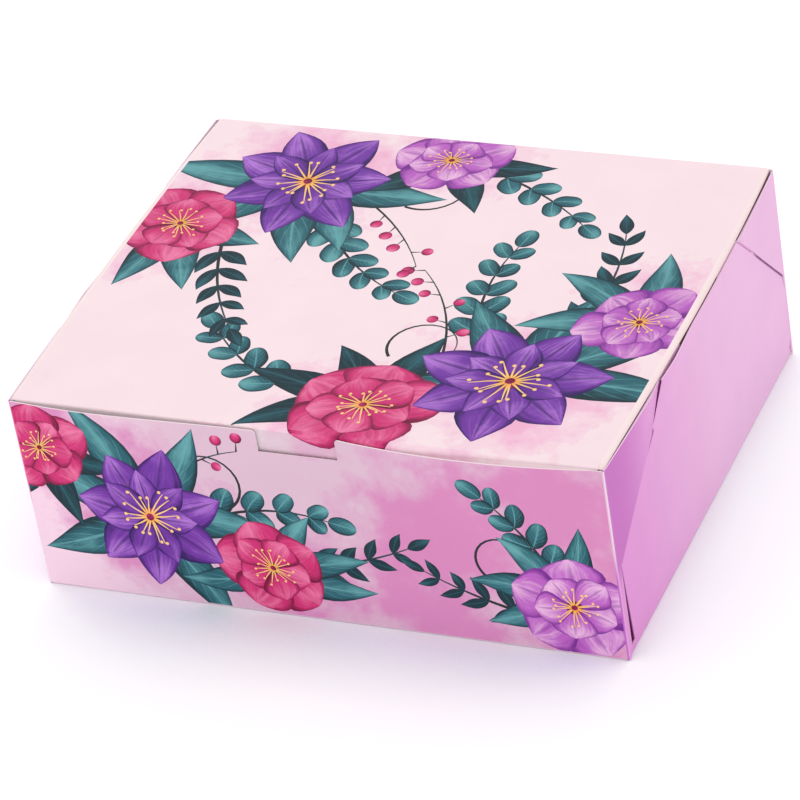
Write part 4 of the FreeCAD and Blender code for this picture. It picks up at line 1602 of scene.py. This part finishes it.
class CARTON_OT_folds(bpy.types.Operator):
    """Bend the lid's back and side folds"""

    bl_idname = "carton.folds"
    bl_label = "Lid folds"

    def execute(self, context):
        self.side_folds(context)
        self.back_fold(context)
        return {"FINISHED"}

    def side_folds(self, context):
        """Bend the two soft side folds, which swell with the walls and close the lid's front corners."""
        low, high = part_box("lid_panel")
        tuck_axis, tuck_radius, _ = tuck_crease()
        front = tuck_axis.y - FOLD_FRONT * tuck_radius
        pale = bpy.data.materials["pale_fold"]
        bulge = boards(context).fold_bulge
        turn = boards(context).fold_turn
        middle = float(lid_edge(context, (low.y + high.y) / 2))
        for hand, side in ((1, "right"), (-1, "left")):
            flap_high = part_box(f"{side}_flap")[1]

            def surface(along, across):
                y = front + along * (high.y - front)
                past = np.clip(tuck_axis.y - y, 0, tuck_radius)
                top = high.z - tuck_radius + np.sqrt(tuck_radius ** 2 - past ** 2)
                inner = lid_edge(context, y)
                outer = flap_face(context, y)
                angle = across * math.pi / 2
                ends = FOLD_CORNERS[0] + (FOLD_CORNERS[1] - FOLD_CORNERS[0]) * along
                crown = np.sqrt(np.clip(np.sin(math.pi * along), 0, 1))
                swell = bulge * (ends + (1 - ends) * crown)
                x = inner + (outer - inner) * np.sin(angle)
                x = x + swell * np.sin(math.pi * across ** FOLD_POWER)
                z = flap_high.z + (top - flap_high.z) * np.cos(angle)
                return hand * x, y, z

            start = (hand * middle, 0.0, high.z)
            end = (hand * (middle + turn), 0.0, high.z - turn)
            self.strip(context, f"{side}_fold", surface, hand > 0, pale, start, end,
                       ("lid", f"{side}_flap"), f"{side}_flap_crease", "pale_board")

    def back_fold(self, context):
        """Bend the sharp fold between the lid and the back wall."""
        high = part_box("lid_panel")[1]
        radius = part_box("lid_crease")[1].y - high.y
        reach = float(lid_edge(context, high.y))

        def surface(along, across):
            run, rise = sharp_bend(across * math.pi / 2, radius)
            return (2 * along - 1) * reach, high.y + run, high.z - radius + rise

        start = (0.0, high.y, high.z)
        end = (0.0, high.y + radius, high.z - radius)
        self.strip(context, "lid_fold", surface, False, bpy.data.materials["lid_ground"], start, end,
                   ("lid", "tray"), "lid_crease", "printed_board")

    def strip(self, context, name, surface, flip, material, start, end, bodies, node, slot):
        """Bend a flat grid onto a surface given by shares along and across, and thicken it."""
        bpy.ops.object.select_all(action="DESELECT")
        along, across = STRIP_STEPS
        bpy.ops.mesh.primitive_grid_add(x_subdivisions=along, y_subdivisions=across, size=1)
        piece = context.object
        piece.name = name
        piece.data.name = name
        spots = np.array([vertex.co for vertex in piece.data.vertices])
        coords = np.stack(surface(spots[:, 0] + 0.5, spots[:, 1] + 0.5), axis=1)
        piece.data.vertices.foreach_set("co", coords.astype(np.float32).ravel())
        piece.data.update()
        activate(context, piece)
        if flip:
            bpy.ops.object.mode_set(mode="EDIT")
            bpy.ops.mesh.select_all(action="SELECT")
            bpy.ops.mesh.flip_normals()
            bpy.ops.object.mode_set(mode="OBJECT")
        for item in (material, *inner_materials(context, "print")):
            piece.data.materials.append(item)
        thicken(context, piece, boards(context).thickness)
        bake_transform(piece)
        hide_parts(node)


class CARTON_OT_finish(bpy.types.Operator):
    """Finish the CAD nodes that keep their shape: the base, its creases and the corner creases"""

    bl_idname = "carton.finish"
    bl_label = "Kept nodes"

    def execute(self, context):
        tones = inks(context)
        lilac = lilac_materials(context)[0]
        # The right corner's print takes the front wall's painted shade
        right = corner_material("right_corner", tones, 1, tones.front_shaded_ground, tones.orchid_body)
        left = corner_material("left_corner", tones, -1, tones.rose_light, tones.front_ground)
        finishes = {
            "base_panel": two_sided_material("base_board", tones.lilac, tones.bare, (0.0, 0.0, -1.0)),
            "front_base_crease": bpy.data.materials["front_ground"],
            "front_right_crease": right,
            "front_left_crease": left,
        }
        for node in ("back_base_crease", "right_base_crease", "left_base_crease",
                     "back_right_crease", "back_left_crease"):
            finishes[node] = lilac
        for node, material in finishes.items():
            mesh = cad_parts[node].data
            mesh.materials.clear()
            mesh.materials.append(material)
        return {"FINISHED"}


class CARTON_OT_stage(bpy.types.Operator):
    """Set the floor, the light and the camera"""

    bl_idname = "carton.stage"
    bl_label = "Studio stage"

    def execute(self, context):
        stage = context.scene.carton_stage
        self.floor(context, stage)
        self.light(context, stage)
        self.camera(context, stage)
        context.scene.view_settings.view_transform = "Standard"
        return {"FINISHED"}

    def floor(self, context, stage):
        """Lay the pale floor, with painted light and shadow round the carton."""
        bpy.ops.object.select_all(action="DESELECT")
        bpy.ops.mesh.primitive_plane_add(size=stage.floor_size)
        floor = context.object
        floor.name = "studio_floor"
        material = bpy.data.materials.new("studio_floor")
        material.use_nodes = True
        tree = material.node_tree
        shader = tree.nodes["Principled BSDF"]
        shader.inputs["Roughness"].default_value = 0.6
        shader.inputs["Specular IOR Level"].default_value = 0.2
        shader.inputs["Emission Strength"].default_value = 1.0
        # Painted light: the floor glows where it lies open, so the carton's shadow stays close; before
        # the carton its colour darkens as painted shadow, and beside it a cool glow is painted
        shade = add_node(tree, "ShaderNodeAmbientOcclusion", {"Distance": stage.glow_reach}, samples=8)
        open_floor = ramp(tree, shade.outputs["AO"], *OPEN_SPAN)
        close = calc(tree, "SUBTRACT", 1.0, open_floor)
        before = calc(tree, "MULTIPLY", close, ramp(tree, coordinate(tree, "Y"), *BEFORE_SPAN))
        beside = calc(tree, "MULTIPLY", close, ramp(tree, coordinate(tree, "X"), *BESIDE_SPAN))
        feed(tree, shader.inputs["Base Color"], mix(tree, before, stage.floor, stage.floor_shade))
        glow = mix(tree, open_floor, BLACK, (stage.floor_glow,) * 3)
        cool = mix(tree, beside, BLACK, stage.floor_cool_glow)
        feed(tree, shader.inputs["Emission Color"], mix(tree, 1.0, glow, cool, blend="ADD"))
        floor.data.materials.append(material)

    def light(self, context, stage):
        """Hang an even sky, a broad soft box above and behind, and a weak one in front."""
        world = bpy.data.worlds.new("studio_sky")
        world.use_nodes = True
        sky = world.node_tree.nodes["Background"]
        sky.inputs["Color"].default_value = (1.0, 1.0, 1.0, 1.0)
        sky.inputs["Strength"].default_value = stage.sky
        context.scene.world = world
        for name, place, size, power in (
            ("key", (-0.9, 1.1, 2.2), 2.4, stage.key),
            ("fill", (1.2, -2.4, 1.0), 1.8, stage.fill),
        ):
            lamp = bpy.data.lights.new(name, "AREA")
            lamp.energy = power
            lamp.size = size
            lamp_object = bpy.data.objects.new(name, lamp)
            lamp_object.location = place
            lamp_object.rotation_mode = "QUATERNION"
            lamp_object.rotation_quaternion = (-Vector(place)).to_track_quat("-Z", "Y")
            context.scene.collection.objects.link(lamp_object)

    def camera(self, context, stage):
        """Stand the camera where the photo was taken from."""
        lens = bpy.data.cameras.new("camera")
        lens.lens = stage.lens
        lens.sensor_width = 36.0
        lens.clip_end = 30.0
        camera = bpy.data.objects.new("camera", lens)
        flat = math.cos(stage.elevation)
        back = Vector((
            math.sin(stage.azimuth) * flat,
            -math.cos(stage.azimuth) * flat,
            math.sin(stage.elevation),
        ))
        camera.location = Vector(stage.target) + back * stage.distance
        camera.rotation_mode = "QUATERNION"
        turn = Matrix.Rotation(stage.roll, 3, "Z")
        look = (-back).to_track_quat("-Z", "Y").to_matrix()
        camera.rotation_quaternion = (look @ turn).to_quaternion()
        context.scene.collection.objects.link(camera)
        context.scene.camera = camera


class CARTON_PT_panel(bpy.types.Panel):
    """List the carton's steps in the sidebar"""

    bl_idname = "CARTON_PT_panel"
    bl_label = "Gift carton"
    bl_space_type = "VIEW_3D"
    bl_region_type = "UI"
    bl_category = "Carton"

    def draw(self, context):
        for operator in OPERATORS:
            self.layout.operator(operator.bl_idname)


OPERATORS = (
    CARTON_OT_lid,
    CARTON_OT_tuck,
    CARTON_OT_front,
    CARTON_OT_walls,
    CARTON_OT_ears,
    CARTON_OT_flaps,
    CARTON_OT_folds,
    CARTON_OT_finish,
    CARTON_OT_stage,
)
GROUPS = (CartonBoards, CartonInks, CartonStage)
CLASSES = (*GROUPS, *OPERATORS, CARTON_PT_panel)


def register():
    """Register the classes and hang the settings on the scene."""
    for item in CLASSES:
        bpy.utils.register_class(item)
    bpy.types.Scene.carton_boards = PointerProperty(type=CartonBoards)
    bpy.types.Scene.carton_inks = PointerProperty(type=CartonInks)
    bpy.types.Scene.carton_stage = PointerProperty(type=CartonStage)


def unregister():
    """Take the settings and classes away again."""
    del bpy.types.Scene.carton_stage
    del bpy.types.Scene.carton_inks
    del bpy.types.Scene.carton_boards
    for item in reversed(CLASSES):
        bpy.utils.unregister_class(item)


def main():
    """Dress the carton."""
    register()
    bpy.ops.carton.lid()
    bpy.ops.carton.tuck()
    bpy.ops.carton.front()
    bpy.ops.carton.walls()
    bpy.ops.carton.ears()
    bpy.ops.carton.flaps()
    bpy.ops.carton.folds()
    bpy.ops.carton.finish()
    bpy.ops.carton.stage()


if __name__ == "__main__":
    main()
